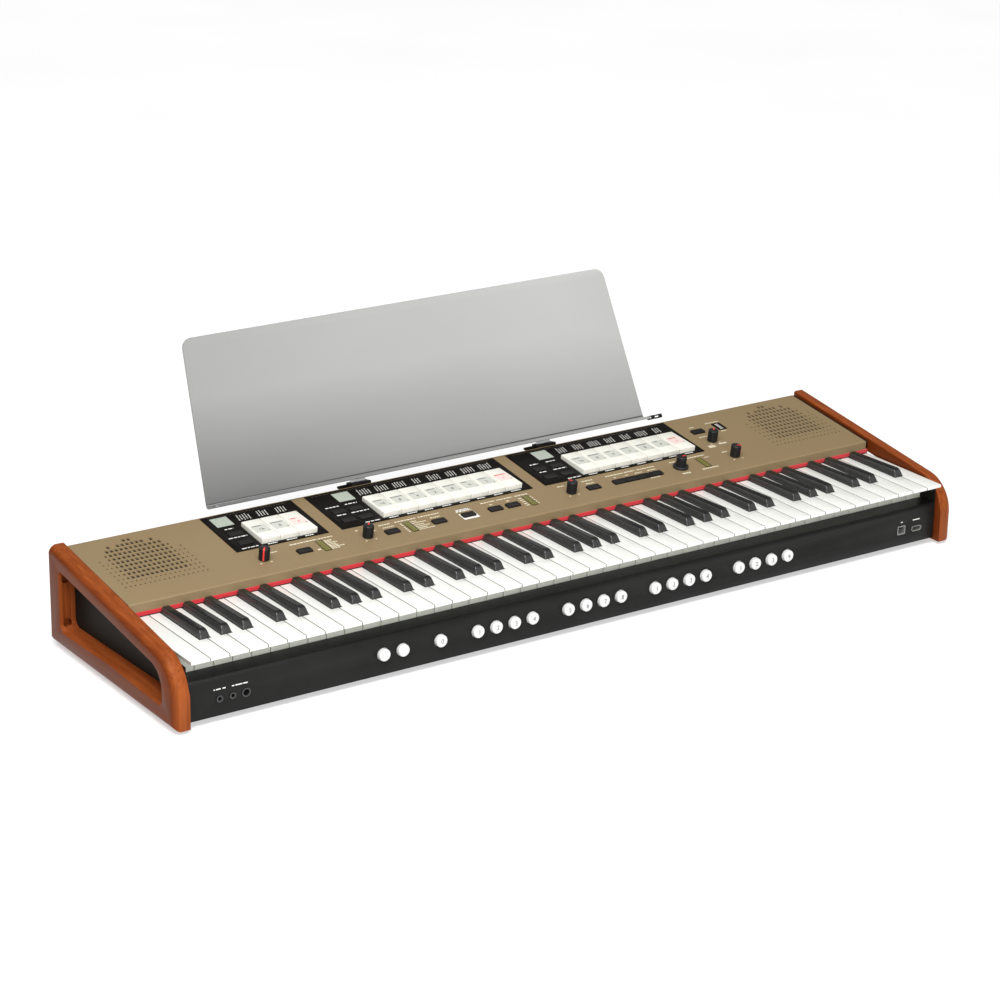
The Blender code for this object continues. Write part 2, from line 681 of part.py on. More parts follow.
def turned(name, profile, frame, material, sides=16):
    """A turned piece: a profile of (radius, height), top to bottom, round its own Z."""
    mesh = bpy.data.meshes.new(name)
    bm = bmesh.new()
    ring = [bm.verts.new((radius, 0.0, height)) for radius, height in profile]
    for first, second in zip(ring, ring[1:]):
        bm.edges.new((first, second))
    bm.to_mesh(mesh)
    bm.free()
    piece = link(name, mesh, frame, material)
    screw = piece.modifiers.new("turn", "SCREW")
    screw.steps = screw.render_steps = sides
    screw.use_merge_vertices = True
    screw.merge_threshold = 0.00001
    screw.use_smooth_shade = False
    return piece


def make_knobs():
    seat = -BOARD_DROP + FIT
    for number, (x, s) in enumerate(KNOBS, 1):
        skirted = number == SKIRTED_KNOB
        foot = SKIRT_RADIUS if skirted else KNOB_RADIUS
        profile = [(0.0, KNOB_HEIGHT), (KNOB_RADIUS - KNOB_LIFT, KNOB_HEIGHT),
                   (KNOB_RADIUS, KNOB_HEIGHT - KNOB_LIFT)]
        if skirted:
            profile += [(KNOB_RADIUS, SKIRT_HEIGHT), (foot, SKIRT_HEIGHT - KNOB_LIFT)]
        profile += [(foot, KNOB_LIFT), (SHAFT_RADIUS, KNOB_LIFT), (SHAFT_RADIUS, seat),
                    (0.0, seat)]
        knob = turned("knob_%d" % number, profile, PANEL, BLACK_PLASTIC)
        knob.location = (x, s, 0.0)


def make_panel_buttons():
    high = -SHEET - FIT
    low = high - CARRIER
    spans = button_spans()
    strip = blocks("panel_buttons", ((spans[0][0], spans[-1][1], CARRIER_FRONT, CARRIER_BACK,
                                      low, high),), PANEL, BLACK_PLASTIC)
    feet = blocks("panel_button_feet", [(x0, x1, BUTTON_FRONT, CARRIER_FRONT + CARRIER,
                                         low, high) for x0, x1 in spans], PANEL)
    caps = blocks("panel_button_caps", [(x0, x1, BUTTON_FRONT, BUTTON_FRONT + BUTTON_LENGTH,
                                         (low + high) / 2, BUTTON_HEIGHT)
                                        for x0, x1 in spans], PANEL)
    boolean(strip, feet, "UNION")
    boolean(strip, caps, "UNION")


def make_plate_buttons():
    high = -SHEET - FIT
    low = high - CARRIER
    first, last = PLATE_BUTTON_FRONTS[0], PLATE_BUTTON_FRONTS[-1] + BUTTON_LENGTH
    for where, lefts in PLATE_BUTTON_LEFTS.items():
        name = "plate_buttons_" + where
        pad = blocks(name, ((lefts[0], lefts[-1] + BUTTON_WIDTH, first, last, low, high),),
                     PANEL, BLACK_PLASTIC)
        caps = blocks(name + "_caps", [
            (x, x + BUTTON_WIDTH, s, s + BUTTON_LENGTH, (low + high) / 2, BUTTON_HEIGHT)
            for x in lefts for s in PLATE_BUTTON_FRONTS], PANEL)
        boolean(pad, caps, "UNION")


def make_power_button():
    high = -SHEET - FIT
    x, s = POWER_BUTTON
    ledge = blocks("power_button", ((x - FLANGE, x + BUTTON_WIDTH + FLANGE, s - FLANGE,
                                     s + BUTTON_LENGTH + FLANGE, high - CARRIER, high),),
                   PANEL, BLACK_PLASTIC)
    cap = blocks("power_button_cap", ((x, x + BUTTON_WIDTH, s, s + BUTTON_LENGTH,
                                       high - CARRIER / 2, BUTTON_HEIGHT),), PANEL)
    boolean(ledge, cap, "UNION")


def make_control_board():
    left = PLATES["left"][0]
    right = KNOBS[-1][0] + SKIRT_RADIUS
    front = KNOBS[2][1] - SKIRT_RADIUS
    low = -BOARD_DROP - BOARD
    board = blocks("control_board", ((left, right, front, TAB_BACK + SKIRT_RADIUS, low,
                                      -BOARD_DROP),), PANEL, CIRCUIT)
    half = FLANGE
    columns = [(PLATES["left"][1] + PLATES["middle"][0]) / 2,
               (PLATES["middle"][1] + PLATES["right"][0]) / 2,
               PLATES["right"][1] + 3 * FLANGE]
    posts = blocks("control_board_posts", [
        (x - half, x + half, s - half, s + half, -BOARD_DROP - BOARD / 2, -SHEET - FIT)
        for x in columns for s in (PLATE_FRONT, TAB_BACK)], PANEL)
    boolean(board, posts, "UNION")


def make_keybed():
    half = HALF_BED - 2 * FIT - SHEET
    back = KEYBED_BACK
    low = DECK_TOP - DECK_SHEET
    floor = FLOOR_TOP + FIT
    side = ((DECK_FRONT, floor), (DECK_FRONT + DECK_SHEET, floor), (DECK_FRONT + DECK_SHEET, low),
            (back - BACK_WALL, low), (back - BACK_WALL, floor), (back, floor),
            (back, BLACK_RAIL_TOP), (back - BACK_WALL, BLACK_RAIL_TOP),
            (back - BACK_WALL, DECK_TOP), (PIVOT_Y + RIDGE / 2, DECK_TOP),
            (PIVOT_Y + RIDGE / 2, TAIL_BOTTOM - FIT), (PIVOT_Y - RIDGE / 2, TAIL_BOTTOM - FIT),
            (PIVOT_Y - RIDGE / 2, DECK_TOP), (DECK_FRONT, DECK_TOP))
    profiles("keybed_frame", side, ((-half, half),), DATUM, ZINC)


def make_contact_board():
    half = HALF_BED - KEY_PITCH
    board = blocks("contact_board", ((-half, half, CONTACT_FRONT, CONTACT_BACK,
                                      CONTACT_Z, CONTACT_Z + BOARD),), DATUM, CIRCUIT)
    middle = (CONTACT_FRONT + CONTACT_BACK) / 2
    strip = blocks("contact_domes", ((-half, half, middle - 4 * DOME_HEIGHT,
                                      middle + 4 * DOME_HEIGHT, CONTACT_Z + BOARD / 2,
                                      CONTACT_Z + BOARD + DOME_HEIGHT),), DATUM)
    leg = 2 * DOME_HEIGHT
    legs = blocks("contact_legs", [
        (x - leg / 2, x + leg / 2, y, y + leg, DECK_TOP + FIT, CONTACT_Z + BOARD / 2)
        for x in (-half + leg, 0.0, half - leg) for y in (CONTACT_FRONT, CONTACT_BACK - leg)],
        DATUM)
    boolean(board, strip, "UNION")
    boolean(board, legs, "UNION")


def make_main_board():
    width = MAIN_BOARD_WIDTH
    back = REAR_FACE - SHEET - SOCKET_DEPTH / 2
    depth = back - KEYBED_BACK - MAIN_BOARD_GAP
    board = blocks("main_board", ((-width / 2, width / 2, back - depth, back,
                                   MAIN_BOARD_Z, MAIN_BOARD_Z + BOARD),), DATUM, CIRCUIT)
    post = 2 * FLANGE
    legs = blocks("main_board_posts", [
        (x - post, x + post, y, y + 2 * post, FLOOR_TOP + FIT, MAIN_BOARD_Z + BOARD / 2)
        for x in (-width / 2 + 2 * post, width / 2 - 2 * post)
        for y in (back - depth + post, back - 3 * post)], DATUM)
    chips = blocks("main_board_chips", [
        (x - depth / 5, x + depth / 5, back - depth * 0.7, back - depth * 0.3,
         MAIN_BOARD_Z + BOARD / 2, MAIN_BOARD_Z + 3 * BOARD)
        for x in (-width / 4, 0.0, width / 4)], DATUM)
    boolean(board, legs, "UNION")
    boolean(board, chips, "UNION")


def make_speakers():
    top = -SHEET - FIT
    frame, basket, magnet = SPEAKER_DEPTHS
    profile = ((0.0, top), (SPEAKER_RADIUS, top), (SPEAKER_RADIUS, top - frame),
               (BASKET_RADIUS, top - frame), (MAGNET_RADIUS, top - frame - basket),
               (MAGNET_RADIUS, top - frame - basket - magnet),
               (0.0, top - frame - basket - magnet))
    for side, name in ((-1, "left_speaker"), (1, "right_speaker")):
        speaker = turned(name, profile, PANEL, BLACK_STEEL, 20)
        speaker.location = (side * GRILLE_CENTRE, SLOT_FIRST_ROW - SPEAKER_SETBACK, 0.0)


def white_profile():
    bend = SKIRT_Y + SKIRT_THICKNESS
    tail = RAIL_FRONT + (RAIL_BACK - RAIL_FRONT) / 3
    return ((0.0, -KEY_LIP + KEY_EDGE), (0.0, -KEY_EDGE), (KEY_EDGE, 0.0), (KEY_LENGTH, 0.0),
            (KEY_LENGTH, TAIL_TOP - FIT), (tail, TAIL_TOP - FIT), (tail, TAIL_BOTTOM + FIT),
            (RAIL_FRONT - TAIL_REACH, TAIL_BOTTOM + FIT),
            (RAIL_FRONT - TAIL_REACH - KEY_HAUNCH, -KEY_BODY),
            (bend + SKIRT_SLOPE, -KEY_BODY), (bend, SKIRT_BOTTOM), (SKIRT_Y, SKIRT_BOTTOM),
            (SKIRT_Y, -KEY_LIP), (KEY_EDGE, -KEY_LIP))


def black_places(first, count):
    """X of each black key between the white keys from number first."""
    places = []
    for key in range(first + 1, first + count):
        letter = (key + FIRST_NOTE) % 7
        if letter in BLACK_SHIFT:
            places.append(-HALF_BED + key * KEY_PITCH + BLACK_SHIFT[letter])
    return places


def make_white_keys(number, first, count):
    name = "white_keys_%d" % number
    left = -HALF_BED + first * KEY_PITCH
    keys = [(left + i * KEY_PITCH + KEY_GAP / 2, left + (i + 1) * KEY_PITCH - KEY_GAP / 2)
            for i in range(count)]
    comb = profiles(name, white_profile(), keys, DATUM, IVORY)
    pivot_at(comb, (0.0, PIVOT_Y, WHITE_PIVOT_Z))
    rail = blocks(name + "_rail", ((keys[0][0] + FIT, keys[-1][1] - FIT, RAIL_FRONT, RAIL_BACK,
                                    TAIL_BOTTOM, TAIL_TOP),), DATUM)
    boolean(comb, rail, "UNION")
    half = BLACK_WIDTH / 2 + NOTCH_GAP
    notches = blocks(name + "_notches", [
        (x - half, x + half, BLACK_FRONT - NOTCH_GAP, RAIL_FRONT - FIT, 2 * SKIRT_BOTTOM,
         BLACK_HEIGHT) for x in black_places(first, count)], DATUM)
    boolean(comb, notches, "DIFFERENCE")


def black_caps(name, places):
    """Black key tops: blocks that narrow upwards and slope down to the felt, front raked."""
    bm = bmesh.new()
    back = KEY_LENGTH - RUN
    for x in places:
        middle = Matrix.Translation((x, (BLACK_FRONT + back) / 2, BLACK_HEIGHT / 2))
        size = Matrix.Diagonal((BLACK_WIDTH, back - BLACK_FRONT, BLACK_HEIGHT, 1.0))
        block = bmesh.ops.create_cube(bm, size=1.0, matrix=middle @ size)["verts"]
        for spot in block:
            if spot.co.z > BLACK_HEIGHT / 2:
                spot.co.x = x + (spot.co.x - x) * BLACK_TOP_WIDTH / BLACK_WIDTH
                if spot.co.y < back - BLACK_RAKE:
                    spot.co.y += BLACK_RAKE
                else:
                    spot.co.z = BLACK_BACK_HEIGHT
    return link(name, mesh_from(name, bm), DATUM, None)


def make_black_keys(number, first, count):
    name = "black_keys_%d" % number
    places = black_places(first, count)
    half = BLACK_WIDTH / 2 - FIT
    left = -HALF_BED + first * KEY_PITCH + KEY_GAP / 2
    right = -HALF_BED + (first + count) * KEY_PITCH - KEY_GAP / 2
    comb = blocks(name, ((left, right, RAIL_FRONT, RAIL_BACK, BLACK_RAIL_BOTTOM,
                          BLACK_RAIL_TOP),), DATUM, EBONY)
    pivot_at(comb, (0.0, PIVOT_Y, BLACK_PIVOT_Z))
    tail = RAIL_FRONT + (RAIL_BACK - RAIL_FRONT) / 3
    body = ((BLACK_FRONT + FIT, -BLACK_DEPTH), (RAIL_FRONT - 2 * KEY_HAUNCH, -BLACK_DEPTH),
            (RAIL_FRONT - KEY_HAUNCH, BLACK_RAIL_BOTTOM + FIT), (tail, BLACK_RAIL_BOTTOM + FIT),
            (tail, -FIT), (KEY_LENGTH - FIT, -FIT), (KEY_LENGTH - FIT, LAP),
            (BLACK_FRONT + 2 * LAP, LAP), (BLACK_FRONT + FIT, 0.0))
    bodies = profiles(name + "_bodies", body, [(x - half, x + half) for x in places], DATUM)
    boolean(bodies, black_caps(name + "_caps", places), "UNION")
    boolean(comb, bodies, "UNION")


def make_keys():
    first = 0
    for number, count in enumerate(WHITE_GROUPS, 1):
        make_white_keys(number, first, count)
        make_black_keys(number, first, count)
        first += count


def make_feet():
    names = iter(("foot_front_left", "foot_rear_left", "foot_front_right", "foot_rear_right"))
    for side in (-1, 1):
        for y in FOOT_YS:
            cylinders(next(names), (((side * FOOT_X, y, TABLE), PAN_BOTTOM - FIT, FOOT_RADIUS),),
                      DATUM, RUBBER, sides=20)


def make_music_desk():
    foot, head = DESK_BOTTOM_WIDTH / 2, DESK_TOP_WIDTH / 2
    lap = -DESK_SHEET / 2
    sheet = fillet(((-foot, lap), (foot, lap), (head, DESK_HEIGHT), (-head, DESK_HEIGHT)),
                   (0, 0, DESK_CORNER, DESK_CORNER))
    mesh = outline_mesh("music_desk", sheet, 0.0, DESK_SHEET)
    upright = Matrix.Rotation(math.pi / 2, 4, "X")
    mesh.transform(Matrix.Translation((DESK_CENTRE, DESK_SHEET, 0.0)) @ upright)
    desk = link("music_desk", mesh, DESK, DESK_GREY)
    ledge = fillet(((-foot, DESK_SHEET), (-foot, -DESK_LEDGE), (foot, -DESK_LEDGE),
                    (foot, DESK_SHEET)), (0, DESK_CORNER / 2, DESK_CORNER / 2, 0))
    ledge_mesh = outline_mesh("music_desk_ledge", ledge, -DESK_SHEET, 0.0)
    ledge_mesh.transform(Matrix.Translation((DESK_CENTRE, 0.0, 0.0)))
    boolean(desk, link("music_desk_ledge", ledge_mesh, DESK, None), "UNION")
    tongues = blocks("music_desk_tongues", [
        (x - TONGUE_WIDTH / 2, x + TONGUE_WIDTH / 2, 0.0, DESK_SHEET, -TONGUE_LENGTH, lap)
        for x in (-BRACKET_X, BRACKET_X)], DESK)
    boolean(desk, tongues, "UNION")


def make_brackets():
    """Each bracket carries the desk's ledge and has a sloping slot for a tongue."""
    sin, cos = math.sin(DESK_TILT), math.cos(DESK_TILT)
    front = REAR_FACE + FIT
    step = PANEL_FRONT + PANEL_RUN + RUN
    gap = -(DESK_SHEET + FIT) / cos

    def under_ledge(y):
        return DESK_FOLD_Z + gap - (y - DESK_FOLD_Y) * sin / cos

    notch = under_panel(step) - SHEET - RUN
    side = ((front, BRACKET_BOTTOM), (BRACKET_BACK, BRACKET_BOTTOM),
            (BRACKET_BACK, under_ledge(BRACKET_BACK)), (step, under_ledge(step)), (step, notch),
            (front, notch))
    for name, x in (("left_desk_bracket", -BRACKET_X), ("right_desk_bracket", BRACKET_X)):
        half = BRACKET_WIDTH / 2
        bracket = profiles(name, side, ((x - half, x + half),), DATUM, BLACK_PLASTIC)
        tab = blocks(name + "_tab", ((x - half - BRACKET_TAB_WIDTH, x, step, DESK_FOLD_Y,
                                      BRACKET_BOTTOM + SHEET, BRACKET_TAB_TOP),), DATUM)
        boolean(bracket, tab, "UNION")
        slot = blocks(name + "_slot", (
            (x - TONGUE_WIDTH / 2 - RUN, x + TONGUE_WIDTH / 2 + RUN, -FIT, DESK_SHEET + FIT,
             -TONGUE_LENGTH - FIT, TONGUE_LENGTH),), DESK)
        boolean(bracket, slot, "DIFFERENCE")


make_cheek(-1, "left_cheek")
make_cheek(1, "right_cheek")
make_base_pan()
make_front_panel()
make_rear_panel()
make_connector_panel()
make_top_panel()
make_felt()
make_stop_plates()
make_keybed()
make_contact_board()
make_control_board()
make_main_board()
make_speakers()
make_feet()
make_music_desk()
make_brackets()
make_keys()
make_tabs()
make_knobs()
make_pistons()
make_panel_buttons()
make_plate_buttons()
make_power_button()
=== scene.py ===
"""Looks of a table-top electronic organ: wooden cheeks, one keyboard, thumb pistons under
the keys, rocker tabs, knobs and buttons on a sloping panel, and a smoked music desk.
Metres; the player sits on the -Y side and the organ stands on Z = 0."""
import math

import bmesh
import bpy
from mathutils import Matrix, Vector


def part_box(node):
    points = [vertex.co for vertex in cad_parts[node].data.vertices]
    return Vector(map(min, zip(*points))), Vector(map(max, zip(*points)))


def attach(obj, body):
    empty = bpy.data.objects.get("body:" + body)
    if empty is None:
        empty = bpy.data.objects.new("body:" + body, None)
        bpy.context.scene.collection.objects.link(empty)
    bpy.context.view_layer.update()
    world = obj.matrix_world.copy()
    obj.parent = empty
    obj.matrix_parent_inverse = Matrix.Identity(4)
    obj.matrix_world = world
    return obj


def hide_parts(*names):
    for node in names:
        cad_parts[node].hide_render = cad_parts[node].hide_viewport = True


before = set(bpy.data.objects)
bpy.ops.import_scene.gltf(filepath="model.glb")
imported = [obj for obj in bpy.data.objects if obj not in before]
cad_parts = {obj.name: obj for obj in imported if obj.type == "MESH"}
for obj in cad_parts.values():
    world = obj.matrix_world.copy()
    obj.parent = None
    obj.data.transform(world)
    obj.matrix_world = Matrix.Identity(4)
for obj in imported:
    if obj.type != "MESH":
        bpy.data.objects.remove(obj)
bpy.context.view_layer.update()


# The two cheeks that close the ends of the organ. Each is a thick red-brown board under
# satin varnish, sawn to a sloping outline with a round nose and a chamfered outer rim,
# with a hand window through it whose rear wall has two plugged screw holes.
lip_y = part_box("white_keys_1")[0].y
key_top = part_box("white_keys_1")[1].z
hands = ((-1, "left"), (1, "right"))
into = (-math.pi / 2, 0.0, 0.0)


def at(across, back, up):
    """A place measured from the middle of the keyboard, its key fronts and its key tops."""
    return Vector((across, lip_y + back, key_top + up))


def only(piece):
    """Nothing but this piece is selected."""
    bpy.ops.object.select_all(action="DESELECT")
    piece.select_set(True)
    bpy.context.view_layer.objects.active = piece


def settle(piece):
    """The piece's place, turn and size go into its mesh."""
    only(piece)
    bpy.ops.object.transform_apply(location=True, rotation=True, scale=True)
    return piece


def put(piece, place, turn=(0.0, 0.0, 0.0)):
    """Turn a piece, then move it, for good."""
    piece.rotation_euler = turn
    piece.location = place
    return settle(piece)


def discard(piece):
    """Take a piece away for good."""
    bpy.data.objects.remove(piece, do_unlink=True)


def block(name, low, high):
    """A block between two corners."""
    low, high = Vector(low), Vector(high)
    bpy.ops.object.select_all(action="DESELECT")
    bpy.ops.mesh.primitive_cube_add(size=1.0, location=(low + high) / 2)
    piece = bpy.context.object
    piece.name = name
    piece.scale = high - low
    return settle(piece)


def rod(name, foot, radius, length, turn=(0.0, 0.0, 0.0), sides=48):
    """A round bar that stands on its foot, then leans by the turn."""
    bpy.ops.object.select_all(action="DESELECT")
    bpy.ops.mesh.primitive_cylinder_add(vertices=sides, radius=radius, depth=length,
                                        location=(0.0, 0.0, length / 2))
    piece = bpy.context.object
    piece.name = name
    settle(piece)
    return put(piece, foot, turn)


def middle(part):
    """The middle of an edge or a face."""
    corners = [corner.co for corner in part.verts]
    return sum(corners, Vector()) / len(corners)


def pick(piece, kind, wanted):
    """Open the piece in edit mode with the wanted faces, edges or points selected."""
    bpy.context.view_layer.objects.active = piece
    bpy.ops.object.mode_set(mode="EDIT")
    bpy.ops.mesh.select_mode(type=kind)
    bpy.ops.mesh.select_all(action="DESELECT")
    shape = bmesh.from_edit_mesh(piece.data)
    parts = {"VERT": shape.verts, "EDGE": shape.edges, "FACE": shape.faces}[kind]
    for part in parts:
        if wanted(part):
            part.select_set(True)
    bmesh.update_edit_mesh(piece.data)


def close_edit():
    """Leave edit mode."""
    bpy.ops.object.mode_set(mode="OBJECT")


def move_points(piece, wanted, shift):
    """Move the wanted points of a piece."""
    pick(piece, "VERT", wanted)
    bpy.ops.transform.translate(value=shift)
    close_edit()


def round_edges(piece, wanted, radius, steps=4, fullness=0.5):
    """Bevel the wanted edges; a lower fullness comes nearer to a flat chamfer."""
    pick(piece, "EDGE", wanted)
    bpy.ops.mesh.bevel(offset=radius, segments=steps, profile=fullness, affect="EDGES")
    close_edit()


def carve(piece, tool, operation="DIFFERENCE"):
    """Cut a piece with another one, or join them, and clear the other away."""
    modifier = piece.modifiers.new("carve", "BOOLEAN")
    modifier.operation = operation
    modifier.object = tool
    only(piece)
    bpy.ops.object.modifier_apply(modifier=modifier.name)
    discard(tool)


def soften(piece, radius, steps=3, angle=30):
    """Take the sharpness off the edges and shade the piece smooth."""
    if radius > 0:
        modifier = piece.modifiers.new("soften", "BEVEL")
        modifier.width = radius
        modifier.segments = steps
        modifier.limit_method = "ANGLE"
        modifier.angle_limit = math.radians(angle)
        only(piece)
        bpy.ops.object.modifier_apply(modifier=modifier.name)
    only(piece)
    bpy.ops.object.shade_smooth_by_angle(angle=math.radians(40))


def tune(material, socket, value):
    """Set one of the shader's own sockets."""
    material.node_tree.nodes["Principled BSDF"].inputs[socket].default_value = value


def finish(name, roughness, metallic=0.0):
    """A material whose colour, gloss and relief are added with wire()."""
    material = bpy.data.materials.new(name)
    material.use_nodes = True
    tune(material, "Roughness", roughness)
    tune(material, "Metallic", metallic)
    return material


def wire(material, kind, inputs=(), **settings):
    """A new node; its inputs are numbers, colours or other nodes' outputs."""
    new = material.node_tree.nodes.new(kind)
    for key, value in settings.items():
        setattr(new, key, value)
    for key, value in dict(inputs).items():
        if isinstance(value, bpy.types.NodeSocket):
            material.node_tree.links.new(value, new.inputs[key])
        else:
            new.inputs[key].default_value = value
    return new


def feed(material, socket, output):
    """Join an output to one of the shader's sockets."""
    shader = material.node_tree.nodes["Principled BSDF"]
    material.node_tree.links.new(output, shader.inputs[socket])


def reckon(material, operation, *values):
    """The result of one sum on numbers or other nodes' outputs."""
    return wire(material, "ShaderNodeMath", dict(enumerate(values)),
                operation=operation).outputs[0]


def spread(material, value, low, high, start=0.0, end=1.0):
    """A value between low and high, carried over to start and end."""
    return wire(material, "ShaderNodeMapRange", {
        "Value": value, "From Min": low, "From Max": high, "To Min": start,
        "To Max": end}).outputs["Result"]


def spot_along(material, axis, source="Object"):
    """Where a point lies along one axis of the piece's own coordinates."""
    place = wire(material, "ShaderNodeTexCoord").outputs[source]
    return wire(material, "ShaderNodeSeparateXYZ", {"Vector": place}).outputs[axis]


def colour_between(material, factor, dark, light, low=0.3, high=0.7):
    """Colours that follow a factor from dark to light."""
    ramp = wire(material, "ShaderNodeValToRGB", {"Fac": factor})
    ramp.color_ramp.elements[0].position = low
    ramp.color_ramp.elements[0].color = (*dark, 1.0)
    ramp.color_ramp.elements[1].position = high
    ramp.color_ramp.elements[1].color = (*light, 1.0)
    return ramp.outputs["Color"]


def noise(material, scale, stretch=(1.0, 1.0, 1.0), detail=4.0, twist=0.0):
    """Cloudy grain on the piece's own coordinates."""
    place = wire(material, "ShaderNodeTexCoord").outputs["Object"]
    place = wire(material, "ShaderNodeMapping", {"Vector": place, "Scale": stretch})
    cloud = wire(material, "ShaderNodeTexNoise", {
        "Vector": place.outputs["Vector"], "Scale": scale, "Detail": detail,
        "Distortion": twist})
    return cloud.outputs["Fac"]


def gloss_between(material, factor, low, high):
    """Roughness that follows a factor."""
    feed(material, "Roughness", spread(material, factor, 0.3, 0.7, low, high))


def relief(material, factor, depth, strength=0.4):
    """Fine bumps that follow a factor."""
    bump = wire(material, "ShaderNodeBump", {
        "Height": factor, "Strength": strength, "Distance": depth})
    feed(material, "Normal", bump.outputs["Normal"])


def facing(material, axis):
    """How far a face looks along an axis, to either side: 0 to 1; the mask by which painted shade
    and sheen follow the way a face looks.
    """
    look = wire(material, "ShaderNodeNewGeometry").outputs["Normal"]
    look = wire(material, "ShaderNodeSeparateXYZ", {"Vector": look}).outputs[axis]
    return spread(material, reckon(material, "ABSOLUTE", look), 0.5, 0.9)


def mix_colours(material, share, first, second, blend="MIX"):
    """The first colour where the share is 0, the second one where it is 1."""
    return wire(material, "ShaderNodeMix", {0: share, 6: first, 7: second},
                data_type="RGBA", blend_type=blend).outputs[2]


def dress(piece, material, slot, body, *nodes):
    """Give a piece its material, its body and the CAD nodes that it stands for; the slot is not
    used.
    """
    piece.data.materials.clear()
    piece.data.materials.append(material)
    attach(piece, body)
    if nodes:
        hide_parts(*nodes)


def wood_grain(name, upright_from, upright_to):
    """Varnished wood: its grain runs along Y, but upwards outside the two places along Y. Faces that
    look along X carry painted shade.
    """
    wood = finish(name, 0.3)
    along = noise(wood, 9.0, (30.0, 1.1, 30.0), 6.0, 0.5)
    upward = noise(wood, 9.0, (30.0, 30.0, 1.1), 6.0, 0.5)
    back = spot_along(wood, "Y")
    near = spread(wood, back, upright_from, upright_from + 0.008, 1.0, 0.0)
    far = spread(wood, back, upright_to - 0.002, upright_to)
    ends = reckon(wood, "ADD", near, far)
    streaks = wire(wood, "ShaderNodeMix", {0: ends, 2: along, 3: upward}).outputs[0]
    clouds = noise(wood, 14.0, detail=3.0, twist=0.2)
    blend = reckon(wood, "MULTIPLY_ADD", clouds, 0.25, reckon(wood, "MULTIPLY", streaks, 0.75))
    colour = colour_between(wood, blend, (0.160, 0.033, 0.0070), (0.280, 0.068, 0.0155), 0.32, 0.68)
    # Painted shade: faces that look to either side along X, such as the cheeks' outer faces, are
    # multiplied darker than the top and front.
    colour = mix_colours(wood, facing(wood, "X"), colour, (0.55, 0.46, 0.36, 1.0), "MULTIPLY")
    feed(wood, "Base Color", colour)
    gloss_between(wood, streaks, 0.36, 0.50)
    relief(wood, streaks, 0.00015, 0.4)
    tune(wood, "Specular IOR Level", 0.15)
    tune(wood, "Specular Tint", (1.0, 0.72, 0.5, 1.0))
    return wood


crown_front = -0.00205
crown_rise = 0.1455
cheek_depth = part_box("left_cheek")[1].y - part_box("left_cheek")[0].y
window_front = 0.026
window_rear = cheek_depth - 0.0225
window_low = -0.0585
plug_inset = 0.0095
plug_heights = (-0.0475, 0.0055)
groove_half = 0.0046
cheek_wood = wood_grain("varnished_cheek_wood", lip_y + 0.004, lip_y + window_rear)


def crown(back):
    """The height of the cheeks' sloping top over the key tops."""
    return crown_front + crown_rise * back


for side, hand in hands:
    low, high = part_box(hand + "_cheek")
    cheek = block("cheek_board_" + hand, low, high)
    outer = low.x if side < 0 else high.x
    drop = high.z - (key_top + crown(0.0))
    move_points(cheek, lambda spot: spot.co.z > 0.06 and spot.co.y < lip_y + 0.1, (0.0, 0.0, -drop))
    round_edges(cheek, lambda edge: middle(edge).z > 0.06 and middle(edge).y < lip_y + 0.001,
                0.0389, 20)
    round_edges(cheek, lambda edge: abs(middle(edge).x - outer) < 1e-5
                and middle(edge).y < low.y + cheek_depth - 1e-5, 0.008, 5, 0.4)
    round_edges(cheek, lambda edge: abs(middle(edge).x - high.x - low.x + outer) < 1e-5
                and middle(edge).z > key_top - 0.035
                and middle(edge).y < low.y + cheek_depth - 1e-5, 0.0022, 3)
    hole = block("window", at(outer - 0.03, window_front, window_low),
                 at(outer + 0.03, window_rear, 0.03))
    move_points(hole, lambda spot: spot.co.z > 0.09 and spot.co.y < lip_y + 0.1,
                (0.0, 0.0, crown(window_front) - 0.0167 - 0.03))
    move_points(hole, lambda spot: spot.co.z > 0.09 and spot.co.y > lip_y + 0.1,
                (0.0, 0.0, crown(window_rear) - 0.0187 - 0.03))
    for ahead, outward, lift in ((True, True, -0.0090), (True, False, 0.0140),
                                 (False, True, -0.0020), (False, False, 0.0070)):
        move_points(hole, lambda spot: spot.co.z < key_top - 0.05
                    and (spot.co.y < lip_y + 0.1) == ahead
                    and ((spot.co.x - outer) * side > 0) == outward, (0.0, 0.0, lift))
    for back, upper, radius in ((window_rear, False, 0.010), (window_front, False, 0.008),
                                (window_front, True, 0.024), (window_rear, True, 0.007)):
        round_edges(hole, lambda edge: abs(middle(edge).y - lip_y - back) < 1e-5
                    and abs(middle(edge).x - outer) < 1e-5
                    and (middle(edge).z > key_top - 0.04) == upper, radius, 8)
    carve(cheek, hole)
    plug_x = outer - side * plug_inset
    groove = block("groove", at(plug_x - groove_half, window_rear - 0.002, plug_heights[0]),
                   at(plug_x + groove_half, window_rear + 0.0014, plug_heights[1]))
    carve(cheek, groove)
    for up in plug_heights:
        carve(cheek, rod("recess", at(plug_x, window_rear - 0.002, up), 0.0052, 0.0105, into, 40))
    soften(cheek, 0.0018, 4)
    dress(cheek, cheek_wood, "cheek_wood", "case", hand + "_cheek")
    for number, up in enumerate(plug_heights, 1):
        plug = rod("cheek_plug_%s_%d" % (hand, number), at(plug_x, window_rear + 0.0058, up),
                   0.0049, 0.0024, into, 40)
        soften(plug, 0.0005, 2)
        dress(plug, cheek_wood, "cheek_wood", "case")


# The steel body behind and under everything: a folded pan with side plates, a rear wall
# and a keybed frame. The pan and the wall are black powder coat, the frame bright zinc.
def paint(material, factor, dark, light):
    """Colour a material between two tones that follow a factor."""
    feed(material, "Base Color", colour_between(material, factor, dark, light))


def powder_coat(name, dark, light, roughness=0.5, shine=0.2):
    """Black paint with the fine orange peel of a baked powder."""
    coat = finish(name, roughness)
    tune(coat, "Specular IOR Level", shine)
    peel = noise(coat, 900.0, detail=3.0)
    paint(coat, noise(coat, 11.0, detail=3.0, twist=0.3), dark, light)
    gloss_between(coat, peel, roughness - 0.07, roughness + 0.08)
    relief(coat, peel, 0.00006, 0.3)
    return coat


